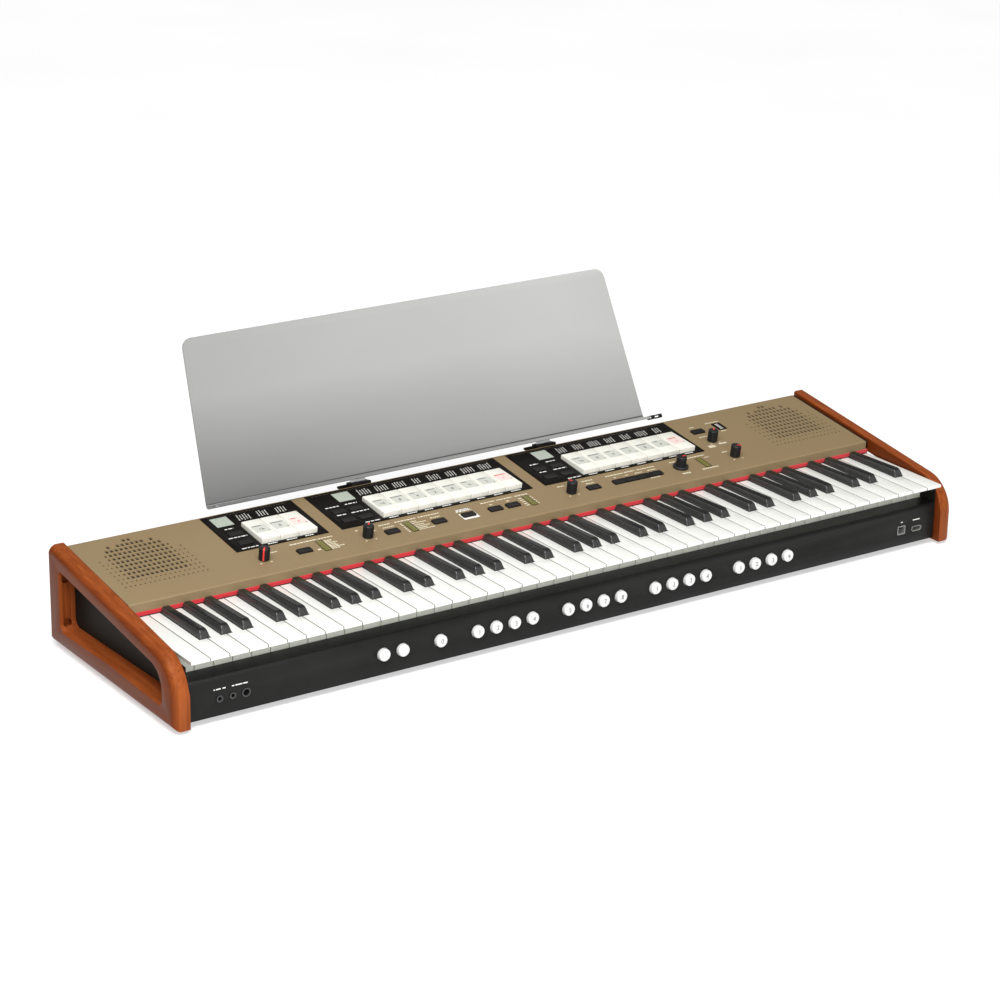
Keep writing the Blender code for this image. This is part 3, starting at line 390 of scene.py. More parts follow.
def coat_solid(node, material):
    """Give a CAD solid that stays in sight its material."""
    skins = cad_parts[node].data.materials
    skins.clear()
    skins.append(material)


black_steel = powder_coat("black_powder_coat", (0.010, 0.0085, 0.007), (0.015, 0.0125, 0.010),
                          0.5, 0.06)
zinc = finish("zinc_plate", 0.4, 0.85)
paint(zinc, noise(zinc, 60.0, (1.0, 6.0, 6.0), 5.0, 0.5), (0.42, 0.42, 0.41), (0.66, 0.66, 0.63))
gloss_between(zinc, noise(zinc, 240.0, (1.0, 8.0, 8.0), 3.0), 0.32, 0.5)
for node, material in (("base_pan", black_steel), ("rear_panel", black_steel),
                       ("left_speaker", black_steel), ("right_speaker", black_steel),
                       ("keybed_frame", zinc)):
    coat_solid(node, material)


# The three circuit boards inside: glass-fibre sheets under green solder mask, with the
# copper runs showing as a faint darker weave.
board = finish("green_solder_mask", 0.42)
copper = wire(board, "ShaderNodeTexBrick", {
    "Vector": wire(board, "ShaderNodeTexCoord").outputs["Object"], "Scale": 160.0,
    "Color1": (0.02, 0.15, 0.05, 1.0), "Color2": (0.03, 0.20, 0.07, 1.0),
    "Mortar": (0.05, 0.27, 0.10, 1.0), "Mortar Size": 0.03})
feed(board, "Base Color", copper.outputs["Color"])
relief(board, copper.outputs["Fac"], 0.00005, 0.3)
for node in ("contact_board", "control_board", "main_board"):
    coat_solid(node, board)


# The front panel below the keys: one sheet of black steel folded back under the key lips,
# punched for nineteen pistons, three jacks on the left and two data ports on the right.
front_face = 0.0095
front_low = -0.0735
front_high = -0.027
front_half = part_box("front_panel")[1].x
piston_groups = (2, 1, 4, 4, 4, 4)
piston_pitch = 0.025
piston_first = -0.2846
piston_up = -0.0489
piston_radius = 0.0072
jacks = ((-0.490, 0.0021), (-0.474, 0.0021), (-0.4576, 0.0036))
jack_up = -0.054
steel_thick = 0.0015
upright = (math.pi / 2, 0.0, 0.0)


def weld(pieces, name):
    """Several pieces as one object."""
    bpy.ops.object.select_all(action="DESELECT")
    for piece in pieces:
        piece.select_set(True)
    bpy.context.view_layer.objects.active = pieces[0]
    bpy.ops.object.join()
    pieces[0].name = name
    return pieces[0]


def flat(name, wide, long, place, turn=(0.0, 0.0, 0.0)):
    """A rectangle without thickness, lying flat unless it is turned."""
    bpy.ops.object.select_all(action="DESELECT")
    bpy.ops.mesh.primitive_plane_add(size=1.0, rotation=turn)
    piece = bpy.context.object
    piece.name = name
    piece.scale = (wide, long, 1.0)
    piece.location = place
    return settle(piece)


def pull_edges(piece, wanted, shift):
    """Draw a new face out of the wanted edges, as a fold does."""
    pick(piece, "EDGE", wanted)
    bpy.ops.mesh.extrude_edges_move(TRANSFORM_OT_translate={"value": shift})
    close_edit()


def thicken(piece, thickness):
    """Give a folded surface its thickness."""
    sheet = piece.modifiers.new("sheet", "SOLIDIFY")
    sheet.thickness = thickness
    sheet.offset = -1.0
    only(piece)
    bpy.ops.object.modifier_apply(modifier=sheet.name)


front_panel = flat("front_sheet", 2 * front_half, front_high - front_low,
                   at(0.0, front_face, (front_low + front_high) / 2), upright)
pull_edges(front_panel, lambda edge: middle(edge).z > key_top + front_high - 1e-5,
           (0.0, 0.026, 0.0))
round_edges(front_panel, lambda edge: middle(edge).z > key_top + front_high - 1e-5
            and middle(edge).y < lip_y + front_face + 1e-5, 0.0045, 8)
thicken(front_panel, steel_thick)

piston_spots = []
place = 0
for number, count in enumerate(piston_groups, 1):
    for i in range(count):
        piston_spots.append((number, piston_first + (place + i) * piston_pitch))
    place += count + 1
before = front_face - 0.002
holes = [rod("hole", at(x, before, piston_up), piston_radius + 0.0006, 0.006, into, 64)
         for number, x in piston_spots]
holes += [rod("hole", at(x, before, jack_up), radius + 0.0012, 0.006, into, 40)
          for x, radius in jacks]
holes += [block("hole", at(x0, before, up0), at(x1, front_face + 0.004, up1))
          for x0, x1, up0, up1 in ((0.4686, 0.4816, -0.0595, -0.0475),
                                   (0.4918, 0.5084, -0.0592, -0.0518))]
carve(front_panel, weld(holes, "holes"))
soften(front_panel, 0.0002, 2)
front_paint = powder_coat("front_powder_coat", (0.007, 0.007, 0.0067), (0.011, 0.011, 0.0104), 0.42,
                          0.14)
dress(front_panel, front_paint, "black_steel", "case", "front_panel")


# The thumb pistons: round white push buttons in groups along the front panel, each a
# turned cap with a flat face and a rounded rim, all but the first two with a plain printed
# number. Those of a group sit on one strip behind the panel.
def copy_to(piece, name, shift):
    """The same piece again, with its own mesh, moved."""
    twin = piece.copy()
    twin.data = piece.data.copy()
    twin.name = name
    bpy.context.scene.collection.objects.link(twin)
    return put(twin, shift)


def grained(name, dark, light, roughness, scale, metallic=0.0):
    """A material that drifts between two tones with a grain of one scale."""
    material = finish(name, roughness, metallic)
    paint(material, noise(material, scale), dark, light)
    return material


ivory = grained("piston_white", (0.58, 0.585, 0.575), (0.66, 0.665, 0.655), 0.25, 120.0)
gloss_between(ivory, noise(ivory, 400.0), 0.2, 0.32)
ink = grained("dark_print", (0.02, 0.02, 0.025), (0.06, 0.06, 0.07), 0.5, 3000.0)
piston_face = front_face - 0.0052
cap = rod("piston", at(0.0, piston_face, piston_up), piston_radius, 0.0075, into, 64)
round_edges(cap, lambda edge: middle(edge).y < lip_y + piston_face + 1e-5
            and abs(middle(edge).z - key_top - piston_up) < 0.0073, 0.0019, 6)
soften(cap, 0.0)
numbers = ["", "", *"0123456781234", *"1234"]


def printed(name, words, size):
    """Printed characters, a few hundredths of a millimetre proud of their surface."""
    bpy.ops.object.select_all(action="DESELECT")
    bpy.ops.object.text_add()
    piece = bpy.context.object
    piece.name = name
    piece.data.body = words
    piece.data.size = size
    piece.data.extrude = 0.00003
    piece.data.align_x = "CENTER"
    piece.data.align_y = "CENTER"
    piece.data.resolution_u = 3
    bpy.ops.object.convert(target="MESH")
    return bpy.context.object


for i, (number, x) in enumerate(piston_spots):
    piston = copy_to(cap, "piston_%02d" % (i + 1), (x, 0.0, 0.0))
    body = "pistons_%d" % number
    dress(piston, ivory, "piston_cap", body, body)
    if numbers[i]:
        figure = printed("piston_number_%02d" % (i + 1), numbers[i], 0.0078)
        put(figure, at(x, piston_face, piston_up), upright)
        dress(figure, ink, "piston_cap", body)
discard(cap)
for number in range(1, 7):
    low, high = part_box("pistons_%d" % number)
    strip = block("piston_strip_%d" % number, (low.x, high.y - 0.002, low.z), high)
    soften(strip, 0.0006, 2)
    dress(strip, ivory, "piston_cap", "pistons_%d" % number, "pistons_%d" % number)


# The sockets in the front panel: three black jack sockets with thin nuts, a square data
# port in a bright steel shell and a flat one beside it.
socket_black = grained("socket_black", (0.006, 0.006, 0.006), (0.016, 0.016, 0.016), 0.35, 500.0)
port_steel = grained("port_shell_steel", (0.20, 0.20, 0.185), (0.30, 0.30, 0.28), 0.42, 700.0, 0.5)
nut_grey = grained("jack_nut_grey", (0.022, 0.022, 0.022), (0.045, 0.045, 0.044), 0.38, 500.0)


def ring(name, place, outer, inner, length, turn):
    """A tube: a round bar with a round hole through it."""
    tube = rod(name, place, outer, length, turn, 40)
    bore = rod("bore", place, inner, length * 3, turn, 40)
    carve(tube, put(bore, -(Matrix.Rotation(turn[0], 3, "X") @ Vector((0.0, 0.0, length)))))
    soften(tube, 0.00015, 2)
    return tube


jack_nut_radii = (0.0040, 0.0038, 0.0053)
for i, (x, radius) in enumerate(jacks):
    barrel = ring("jack_barrel_%d" % i, at(x, front_face - 0.0004, jack_up), radius + 0.0011,
                  radius, 0.0094, into)
    dress(barrel, socket_black, "black_plastic", "case")
    nut = ring("jack_nut_%d" % i, at(x, front_face - 0.0008, jack_up), jack_nut_radii[i],
               radius + 0.0004, 0.0007, into)
    dress(nut, nut_grey, "black_plastic", "case")
    bottom = rod("jack_end_%d" % i, at(x, front_face + 0.0086, jack_up), radius + 0.0010, 0.001,
                 into, 40)
    soften(bottom, 0.0002, 2)
    dress(bottom, socket_black, "black_plastic", "case")


def port(name, low, high, wall, depth, corner):
    """A port shell: an open box, its front rim flush with the panel."""
    shell = block(name, low, high)
    round_edges(shell, lambda edge: abs(middle(edge).y - (low.y + high.y) / 2) < 1e-5, corner, 4)
    pick(shell, "FACE", lambda face: face.normal.y < -0.9)
    bpy.ops.mesh.inset(thickness=wall)
    bpy.ops.mesh.extrude_region_move(TRANSFORM_OT_translate={"value": (0.0, depth, 0.0)})
    close_edit()
    soften(shell, 0.00012, 2)
    return shell


for shape, low, high, wall, corner, tongue_low, tongue_high, edge in (
        ("square", (0.4689, -0.0592), (0.4813, -0.0478), 0.0011, 0.0012,
         (0.4727, -0.0553), (0.4775, -0.0517), 0.0004),
        ("flat", (0.4921, -0.0589), (0.5081, -0.0521), 0.0008, 0.0029,
         (0.4944, -0.0562), (0.5058, -0.0548), 0.0003)):
    shell = port("port_%s_shell" % shape, at(low[0], front_face - 0.0003, low[1]),
                 at(high[0], front_face + 0.011, high[1]), wall, 0.009, corner)
    dress(shell, port_steel, "zinc_steel", "case")
    tongue = block("port_%s_tongue" % shape, at(tongue_low[0], front_face + 0.0015, tongue_low[1]),
                   at(tongue_high[0], front_face + 0.0095, tongue_high[1]))
    soften(tongue, edge, 2)
    dress(tongue, socket_black, "black_plastic", "case")


# The small pale marks over the sockets: dashes screen-printed on the front panel's black
# paint, left without words.
pale_print = grained("pale_print", (0.55, 0.55, 0.52), (0.78, 0.78, 0.74), 0.55, 2500.0)


def bars(name, spots):
    """Printed bars in one thin object: each is a middle, a size and a turn about Z."""
    bpy.ops.object.select_all(action="DESELECT")
    bpy.ops.mesh.primitive_cube_add(size=1.0, location=spots[0][0])
    piece = bpy.context.object
    piece.name = name
    piece.scale = spots[0][1]
    piece.rotation_euler = (0.0, 0.0, spots[0][2])
    settle(piece)
    bpy.ops.object.mode_set(mode="EDIT")
    for place, size, turn in spots[1:]:
        bpy.ops.mesh.primitive_cube_add(size=1.0, location=place, scale=size,
                                        rotation=(0.0, 0.0, turn))
    close_edit()
    return piece


over_sockets = ((-0.4965, 0.0014, -0.0426), (-0.4915, 0.0060, -0.0426), (-0.4845, 0.0036, -0.0426),
                (-0.4735, 0.0030, -0.0426), (-0.4665, 0.0085, -0.0426), (-0.4585, 0.0055, -0.0426),
                (0.4751, 0.0026, -0.0430), (0.4989, 0.0115, -0.0435))
marks = bars("front_marks", [(at(x, front_face, up), (width, 0.00008, 0.0013), 0.0)
                             for x, width, up in over_sockets])
dress(marks, pale_print, "stop_tab", "case")


# The sloping top panel: one sheet of steel in satin bronze paint, folded down at its front
# edge over the red felt, and punched for the controls and for two loudspeaker grilles.
sheet_low, sheet_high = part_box("top_panel")
panel_run = 0.150
panel_rise = 0.0205
slope = math.atan2(panel_rise, panel_run)
panel_spot = Vector((0.0, sheet_low.y, sheet_high.z - panel_rise))
panel_length = math.hypot(panel_run, panel_rise)
panel_half = sheet_high.x


def lay(piece, spot=(0.0, 0.0, 0.0), turn=(0.0, 0.0, 0.0)):
    """Put a piece at a spot of the panel as if that lay flat, then lean it with the panel."""
    put(piece, spot, turn)
    return put(piece, panel_spot, (slope, 0.0, 0.0))


top = flat("top_sheet", 2 * panel_half - 0.0048, panel_length, (-0.0013, panel_length / 2, 0.0))
lay(top)
pull_edges(top, lambda edge: middle(edge).y < panel_spot.y + 1e-4, (0.0, 0.0, -0.0104))
round_edges(top, lambda edge: abs(middle(edge).y - panel_spot.y) < 1e-4
            and abs(middle(edge).z - panel_spot.z) < 1e-4, 0.0015, 6)
thicken(top, steel_thick)

tab_pitch = 0.02465
tab_front = 0.066
tab_back = 0.116
bank_lefts = {"left": -0.325, "middle": -0.1615, "right": 0.1266}
bank_counts = {"left": 3, "middle": 8, "right": 7}
tab_groups = (("tabs_left", "left", 3), ("tabs_middle_1", "middle", 4),
              ("tabs_middle_2", "middle", 4), ("tabs_right_1", "right", 4),
              ("tabs_right_2", "right", 3))
bank_spans = [(x, x + bank_counts[bank] * tab_pitch) for bank, x in bank_lefts.items()]
button_wide = 0.0180
button_long = 0.0096
button_front = 0.0277
button_lefts = (-0.2973, -0.1791, -0.1142, -0.0732, -0.0346, -0.0096, 0.1092,
                0.1482, 0.1667, 0.1852, 0.2037)
plate_button_fronts = (0.0718, 0.0948)
plate_button_lefts = (("left", -0.3499), ("middle", -0.2114), ("middle", -0.1884),
                      ("right", 0.0756), ("right", 0.1006))
power_left = 0.3274
power_front = 0.1044
knobs = ((-0.3405, 0.034), (-0.203, 0.0335), (0.085, 0.0325), (0.253, 0.035), (0.338, 0.081),
         (0.338, 0.034))
gap = 0.0006


def cutter(x0, x1, s0, s1, room=gap):
    """A block that cuts an opening, with a little room round what comes through."""
    return block("hole", (x0 - room, s0 - room, -0.01), (x1 + room, s1 + room, 0.01))


def button_cutter(first, s, last=None):
    """A block that cuts the opening of one button, or of a row of them."""
    return cutter(first, (first if last is None else last) + button_wide, s, s + button_long)


def slot_cutter(half_wide, half_long, corner):
    """A block that cuts one slot of a grille, with rounded corners."""
    slot = cutter(-half_wide, half_wide, -half_long, half_long, 0.0)
    round_edges(slot, lambda edge: abs(middle(edge).z) < 1e-5, corner, 2)
    return slot


openings = [cutter(x0, x1, tab_front, tab_back) for x0, x1 in bank_spans]
openings += [button_cutter(x, s) for where, x in plate_button_lefts for s in plate_button_fronts]
plate_openings = [copy_to(piece, "plate_hole", (0.0, 0.0, 0.0)) for piece in openings]
openings += [button_cutter(x, button_front) for x in button_lefts[:7]]
openings.append(button_cutter(button_lefts[7], button_front, button_lefts[10]))
openings.append(button_cutter(power_left, power_front))
openings += [rod("hole", (x, s, -0.01), 0.0036, 0.02, sides=32) for x, s in knobs]

big = slot_cutter(0.0018, 0.0030, 0.0007)
mid = slot_cutter(0.0013, 0.0022, 0.0005)
small = cutter(-0.0008, 0.0008, -0.0015, 0.0015, 0.0)
grille_centre = 0.4615
slot_pitch = 0.006
row_pitch = 0.0091
first_row = panel_length - 0.0132
edged = {2: mid, **{column: big for column in range(3, 15)}, 15: mid}
rows = [{column: big for column in columns}
        for columns in ((8, 9), (4, 6, 7, 8, 9, 10, 11, 13), range(3, 15))]
rows += [edged, {0: small, **edged, 17: small}]
rows += [{0: small, 1: small, **edged, 16: small, 17: small}] * 5
rows += [{column: small for column in range(18)}] * 2
for side in (-1, 1):
    for r, row in enumerate(rows):
        for column, shape in row.items():
            x = side * grille_centre + (column - 8.5) * slot_pitch
            openings.append(copy_to(shape, "slot", (x, first_row - r * row_pitch, 0.0)))
for shape in (big, mid, small):
    discard(shape)
carve(top, lay(weld(openings, "panel_openings")))
soften(top, 0.0)
bronze = finish("satin_bronze_paint", 0.46, 0.15)
flake = noise(bronze, 1800.0, detail=2.0)
drift = noise(bronze, 5.0, detail=2.0)
both = reckon(bronze, "MULTIPLY", reckon(bronze, "ADD", flake, drift), 0.5)
paint(bronze, both, (0.222, 0.160, 0.084), (0.248, 0.181, 0.097))
gloss_between(bronze, flake, 0.42, 0.54)
tune(bronze, "Specular IOR Level", 0.25)
relief(bronze, flake, 0.00004, 0.25)
dress(top, bronze, "panel_bronze", "case", "top_panel")
# Painted shade: a black strip fills the gap between the panel and each cheek, standing in for the
# shade in that gap.
for (side, hand), wide in zip(hands, (0.0010, 0.0036)):
    inner, outer = sorted((side * (panel_half - wide), side * (panel_half - 0.0001)))
    strip = block("panel_gap_shade_strip_" + hand, (inner, 0.0012, -0.0060),
                  (outer, panel_length - 0.0003, -0.0004))
    soften(strip, 0.0003, 2)
    dress(lay(strip), black_steel, "black_steel", "case")
# Black cloth under each grille; its near-black also stands in for the shade inside the slots, so it
# is partly painted shade.
cloth_black = finish("grille_cloth_black", 0.95)
weave = noise(cloth_black, 2600.0, detail=2.0)
paint(cloth_black, weave, (0.002, 0.002, 0.002), (0.008, 0.008, 0.007))
relief(cloth_black, weave, 0.0002, 0.6)
for side, hand in hands:
    cloth = block("grille_cloth_" + hand,
                  (side * grille_centre - 0.058, first_row - 0.108, -0.00178),
                  (side * grille_centre + 0.058, first_row + 0.007, -0.00152))
    soften(cloth, 0.0)
    dress(lay(cloth), cloth_black, "black_plastic", "case")


# The strip of red felt under the panel's front edge, which the raised keys meet: a narrow
# woven band with a soft nap.
low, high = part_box("red_felt")
felt = block("felt_band", (low.x, low.y - 0.0011, low.z - 0.0003), (high.x, high.y, high.z + 0.001))
pick(felt, "EDGE", lambda edge: abs(edge.verts[0].co.x - edge.verts[1].co.x) > 0.1)
bpy.ops.mesh.subdivide(number_cuts=240)
close_edit()
soften(felt, 0.0007, 2)
felt_red = finish("red_felt_nap", 0.95)
nap = noise(felt_red, 1400.0)
paint(felt_red, nap, (0.38, 0.004, 0.010), (0.53, 0.009, 0.019))
relief(felt_red, nap, 0.0004, 0.8)
tune(felt_red, "Sheen Weight", 0.3)
dress(felt, felt_red, "red_felt", "case", "red_felt")


# The three black plates round the tab banks: printed polycarbonate sheets glued to the
# panel, with windows for the tabs and for the small square buttons.
plate_back = panel_length - 0.0029
plate_spans = {"left": (-0.361, -0.2395), "middle": (-0.2215, 0.0475), "right": (0.0655, 0.310)}
plate_top = 0.0009
plate_black = finish("plate_black_film", 0.32)
film = noise(plate_black, 700.0, detail=2.0)
paint(plate_black, film, (0.004, 0.0035, 0.003), (0.009, 0.008, 0.007))
gloss_between(plate_black, film, 0.3, 0.42)
tune(plate_black, "Specular IOR Level", 0.05)
relief(plate_black, film, 0.00003, 0.2)
plate_tools = weld(plate_openings, "plate_openings")
for where, (x0, x1) in plate_spans.items():
    plate = block("plate_" + where, (x0, 0.060, 0.00002), (x1, plate_back, plate_top))
    carve(plate, copy_to(plate_tools, "tool", (0.0, 0.0, 0.0)))
    soften(plate, 0.0002, 2)
    dress(lay(plate), plate_black, "plate_black", "case", "stop_plate_" + where)
discard(plate_tools)


# The printing on the plates: a fine line along the back, slanting columns of broken strokes
# behind each tab where a list of voices would be, short dashes by the buttons and tabs, and
# a pale square in each rear corner. Nothing is lettered.
grey_print = grained("grey_print", (0.34, 0.34, 0.31), (0.56, 0.56, 0.52), 0.5, 2200.0)
dim_print = grained("dim_print", (0.045, 0.036, 0.030), (0.085, 0.070, 0.058), 0.5, 900.0)
sage_print = grained("sage_print", (0.27, 0.305, 0.255), (0.40, 0.435, 0.370), 0.4, 700.0)
skin = 0.00006


def flat_bar(x0, x1, s0, s1, height=plate_top):
    """A printed bar given by its ends, on the plate or the panel."""
    return (((x0 + x1) / 2, (s0 + s1) / 2, height), (x1 - x0, s1 - s0, skin), 0.0)


def lay_bars(name, spots, material, slot="stop_tab"):
    """Printed bars laid on the panel."""
    dress(lay(bars(name, spots)), material, slot, "case")


def broken(x0, x1, s0, s1, step, height=plate_top):
    """A row of bars of uneven length, as a word or two would fill."""
    row = []
    x = x0
    while x < x1 - 0.0003:
        wide = step * (0.75 + 0.25 * math.sin(x * 2300.0))
        row.append(flat_bar(x, min(x + wide, x1), s0, s1, height))
        x += wide + step * 0.22
    return row


lean = math.radians(81.5)
lines_behind = {"left": (5, 4, 4), "middle": (5, 5, 5, 3, 5, 4, 5, 5),
                "right": (4, 4, 5, 4, 4, 5, 3)}
for where, left in bank_lefts.items():
    strokes = []
    marks = []
    for tab, lines in enumerate(lines_behind[where]):
        start = left + tab * tab_pitch + 0.0123 - (lines - 1) * 0.0018
        for line in range(lines):
            run = 0.1262 + 0.0012 * ((line + tab) % 2)
            end = 0.1405 - 0.0011 * ((line * 2 + tab) % 3)
            while run < end - 0.001:
                long = min(0.0034 + 0.0013 * math.sin(run * 3000.0 + line * 2.0 + tab), end - run)
                reach = run + long / 2 - 0.126
                strokes.append(((start + line * 0.0036 + reach * math.cos(lean), run + long / 2,
                                 plate_top), (long, 0.0013, skin), lean))
                run += long + 0.0008
        base = left + tab * tab_pitch + 0.0062
        marks += broken(base, base + 0.0112 + 0.0012 * ((tab + 1) % 3), 0.0619, 0.0637, 0.0028)
    x0, x1 = plate_spans[where]
    back_line = broken(x0 + 0.008, x1 - 0.009, 0.1444, 0.1451, 0.006)
    lay_bars("plate_strokes_" + where, strokes, grey_print)
    lay_bars("plate_back_line_" + where, back_line, dim_print)
    lay_bars("plate_marks_" + where, marks, pale_print)

squares = (("left", -0.3524, -0.3302), ("middle", -0.1887, -0.1664), ("right", 0.0984, 0.1206))
for where, x0, x1 in squares:
    square = block("plate_square_" + where, (x0, 0.1205, plate_top - 0.00002),
                   (x1, 0.142, plate_top + 0.00005))
    round_edges(square, lambda edge: abs(middle(edge).z - plate_top) < 0.0001
                and abs(edge.verts[0].co.z - edge.verts[1].co.z) > 0.00004, 0.0006, 3)
    soften(square, 0.0)
    dress(lay(square), sage_print, "stop_tab", "case")
dashes = {"left": ((-0.3475, -0.3362, 0.1130), (-0.3540, -0.3300, 0.0914),
                   (-0.3520, -0.3300, 0.0641)),
          "middle": ((-0.2133, -0.1950, 0.1125), (-0.1863, -0.1700, 0.1128),
                     (-0.2097, -0.1958, 0.0915), (-0.1900, -0.1662, 0.0915),
                     (-0.1875, -0.1667, 0.0640)),
          "right": ((0.0786, 0.0906, 0.1130), (0.1024, 0.1160, 0.1130), (0.0786, 0.0900, 0.0914),
                    (0.0994, 0.1186, 0.0916), (0.1020, 0.1210, 0.0640))}
spots = [bar for lines in dashes.values() for x0, x1, s in lines
         for bar in broken(x0, x1, s - 0.0009, s + 0.0009, 0.0062)]
lay_bars("plate_dashes", spots, pale_print)


# The rocker tabs: wide white plastic keys that tip about a pin near their back edge. Each
# carries a grey label with a darker head line and a plain number. The last tab of a bank
# has a pink label.
tab_white = grained("tab_white", (0.665, 0.655, 0.585), (0.72, 0.71, 0.64), 0.3, 90.0)
gloss_between(tab_white, noise(tab_white, 500.0), 0.25, 0.36)
label_grey = grained("label_grey", (0.44, 0.45, 0.40), (0.54, 0.55, 0.49), 0.45, 900.0)
label_pink = grained("label_pink", (0.66, 0.52, 0.48), (0.72, 0.60, 0.56), 0.45, 900.0)
head_grey = grained("label_head_grey", (0.13, 0.13, 0.125), (0.23, 0.23, 0.22), 0.45, 900.0)
head_red = grained("label_head_red", (0.50, 0.07, 0.07), (0.62, 0.12, 0.11), 0.45, 900.0)
front_rise = 0.0072
back_rise = 0.005
tab_lean = math.atan2(back_rise - front_rise, tab_back - tab_front)


def tab_height(s):
    """The height of a tab's top at a spot along the panel."""
    return front_rise + (s - tab_front) * math.tan(tab_lean)


tab = block("tab", (0.0003, tab_front, -0.006), (tab_pitch - 0.0003, tab_back, front_rise))
move_points(tab, lambda spot: spot.co.z > 0.0 and spot.co.y > tab_back - 1e-5,
            (0.0, 0.0, back_rise - front_rise))
soften(tab, 0.0009, 3)


def label(name, x0, x1, s0, s1, material, body, proud=0.0):
    """A thin printed patch on a tab's sloping top."""
    piece = block(name, (x0, s0, -0.00003), (x1, s1, 0.00003 + proud))
    move_points(piece, lambda spot: spot.co.y < (s0 + s1) / 2, (0.0, 0.0, tab_height(s0)))
    move_points(piece, lambda spot: spot.co.y > (s0 + s1) / 2, (0.0, 0.0, tab_height(s1)))
    dress(lay(piece), material, "stop_tab", body)


tab_feet = ("16", "8", "4", "2", "8", "4", "2", "1")
placed = {"left": 0, "middle": 0, "right": 0}
for node, where, count in tab_groups:
    for i in range(count):
        number = placed[where]
        placed[where] += 1
        x = bank_lefts[where] + number * tab_pitch
        name = "tab_%s_%d" % (where, number + 1)
        one = copy_to(tab, name, (x, 0.0, 0.0))
        dress(lay(one), tab_white, "stop_tab", node, node)
        last = number == bank_counts[where] - 1
        label(name + "_label", x + 0.0025, x + 0.0220, 0.0815, 0.1003,
              label_pink if last else label_grey, node)
        reach = 0.0035 * ((number * 2 + 1) % 3)
        label(name + "_head", x + 0.0042 + reach / 4, x + 0.0200 - reach, 0.0972, 0.0993,
              head_red if last else head_grey, node, 0.00003)
        label(name + "_mark", x + 0.0188, x + 0.0209, 0.0833, 0.0850, head_grey, node, 0.00003)
        figure = printed(name + "_number", tab_feet[number], 0.0072)
        lay(figure, (x + 0.0123, 0.0893, tab_height(0.0885) + 0.00004), (tab_lean, 0.0, 0.0))
        dress(figure, head_red if last else ink, "stop_tab", node)
discard(tab)


# The knobs: black plastic caps on potentiometer shafts, finely fluted, each with a red
# pointer from the middle of its top down its side. The fourth stands on a round skirt.
knob_black = grained("knob_black", (0.008, 0.008, 0.009), (0.017, 0.017, 0.018), 0.4, 600.0)
gloss_between(knob_black, noise(knob_black, 900.0), 0.30, 0.45)
tune(knob_black, "Specular IOR Level", 0.3)
pointer_red = grained("pointer_red", (0.62, 0.02, 0.02), (0.80, 0.05, 0.04), 0.4, 900.0)
knob_radius = 0.0064
knob_tall = 0.0155
pointing = (-38, 150, 200, 95, 140, 60)
for number, (x, s) in enumerate(knobs, 1):
    node = "knob_%d" % number
    knob = rod("knob_cap_%d" % number, (0.0, 0.0, 0.0005), knob_radius, knob_tall - 0.0005,
               sides=60)
    round_edges(knob, lambda edge: middle(edge).z > knob_tall - 1e-5
                and Vector(middle(edge)[:2]).length > 0.005, 0.0014, 5)
    pick(knob, "FACE", lambda face: abs(face.normal.z) < 0.02
         and round(math.degrees(math.atan2(face.normal.y, face.normal.x)) / 6.0 - 0.5) % 2 == 0)
    bpy.ops.mesh.inset(thickness=0.0001, use_individual=True)
    bpy.ops.transform.resize(value=(0.95, 0.95, 1.0))
    close_edit()
    stem = rod("stem", (0.0, 0.0, -0.0101), 0.003, 0.012, sides=32)
    pieces = [knob, stem]
    if number == 4:
        skirt = rod("skirt", (0.0, 0.0, 0.0003), 0.0098, 0.0030, sides=60)
        round_edges(skirt, lambda edge: middle(edge).z > 0.0031, 0.0012, 3)
        pieces.append(skirt)
    knob = weld(pieces, "knob_cap_%d" % number)
    soften(knob, 0.0)
    dress(lay(knob, (x, s, 0.0)), knob_black, "black_plastic", node, node)
    line = block("knob_pointer_%d" % number, (-0.0009, -knob_radius - 0.00012, 0.0012),
                 (0.0009, -0.0006, knob_tall + 0.00008))
    round_edges(line, lambda edge: middle(edge).y < -knob_radius
                and middle(edge).z > knob_tall, 0.0014, 5)
    soften(line, 0.0)
    lay(line, (x, s, 0.0), (0.0, 0.0, math.radians(pointing[number - 1])))
    dress(line, pointer_red, "red_felt", node)


# The push buttons: small black oblong caps with softly dished tops. Those on the front
# row share a carrier under the panel, and so do those on each black plate.
button_black = grained("button_black", (0.008, 0.007, 0.007), (0.016, 0.015, 0.014), 0.45, 700.0)
gloss_between(button_black, noise(button_black, 900.0), 0.38, 0.52)
tune(button_black, "Specular IOR Level", 0.15)
button = block("button", (0.0, 0.0, -0.0028), (button_wide, button_long, 0.0019))
round_edges(button, lambda edge: abs(middle(edge).z + 0.00045) < 1e-5, 0.0014, 4)
pick(button, "FACE", lambda face: face.normal.z > 0.9)
bpy.ops.mesh.inset(thickness=0.0012)
bpy.ops.transform.translate(value=(0.0, 0.0, -0.0002))
close_edit()
soften(button, 0.0005, 3, 20)
places = [("panel_buttons", x, button_front) for x in button_lefts]
places += [("plate_buttons_" + where, x, s) for where, x in plate_button_lefts
           for s in plate_button_fronts]
places.append(("power_button", power_left, power_front))
for number, (node, x, s) in enumerate(places, 1):
    one = copy_to(button, "button_%02d" % number, (x, s, 0.0))
    dress(lay(one), button_black, "black_plastic", node, node)
discard(button)


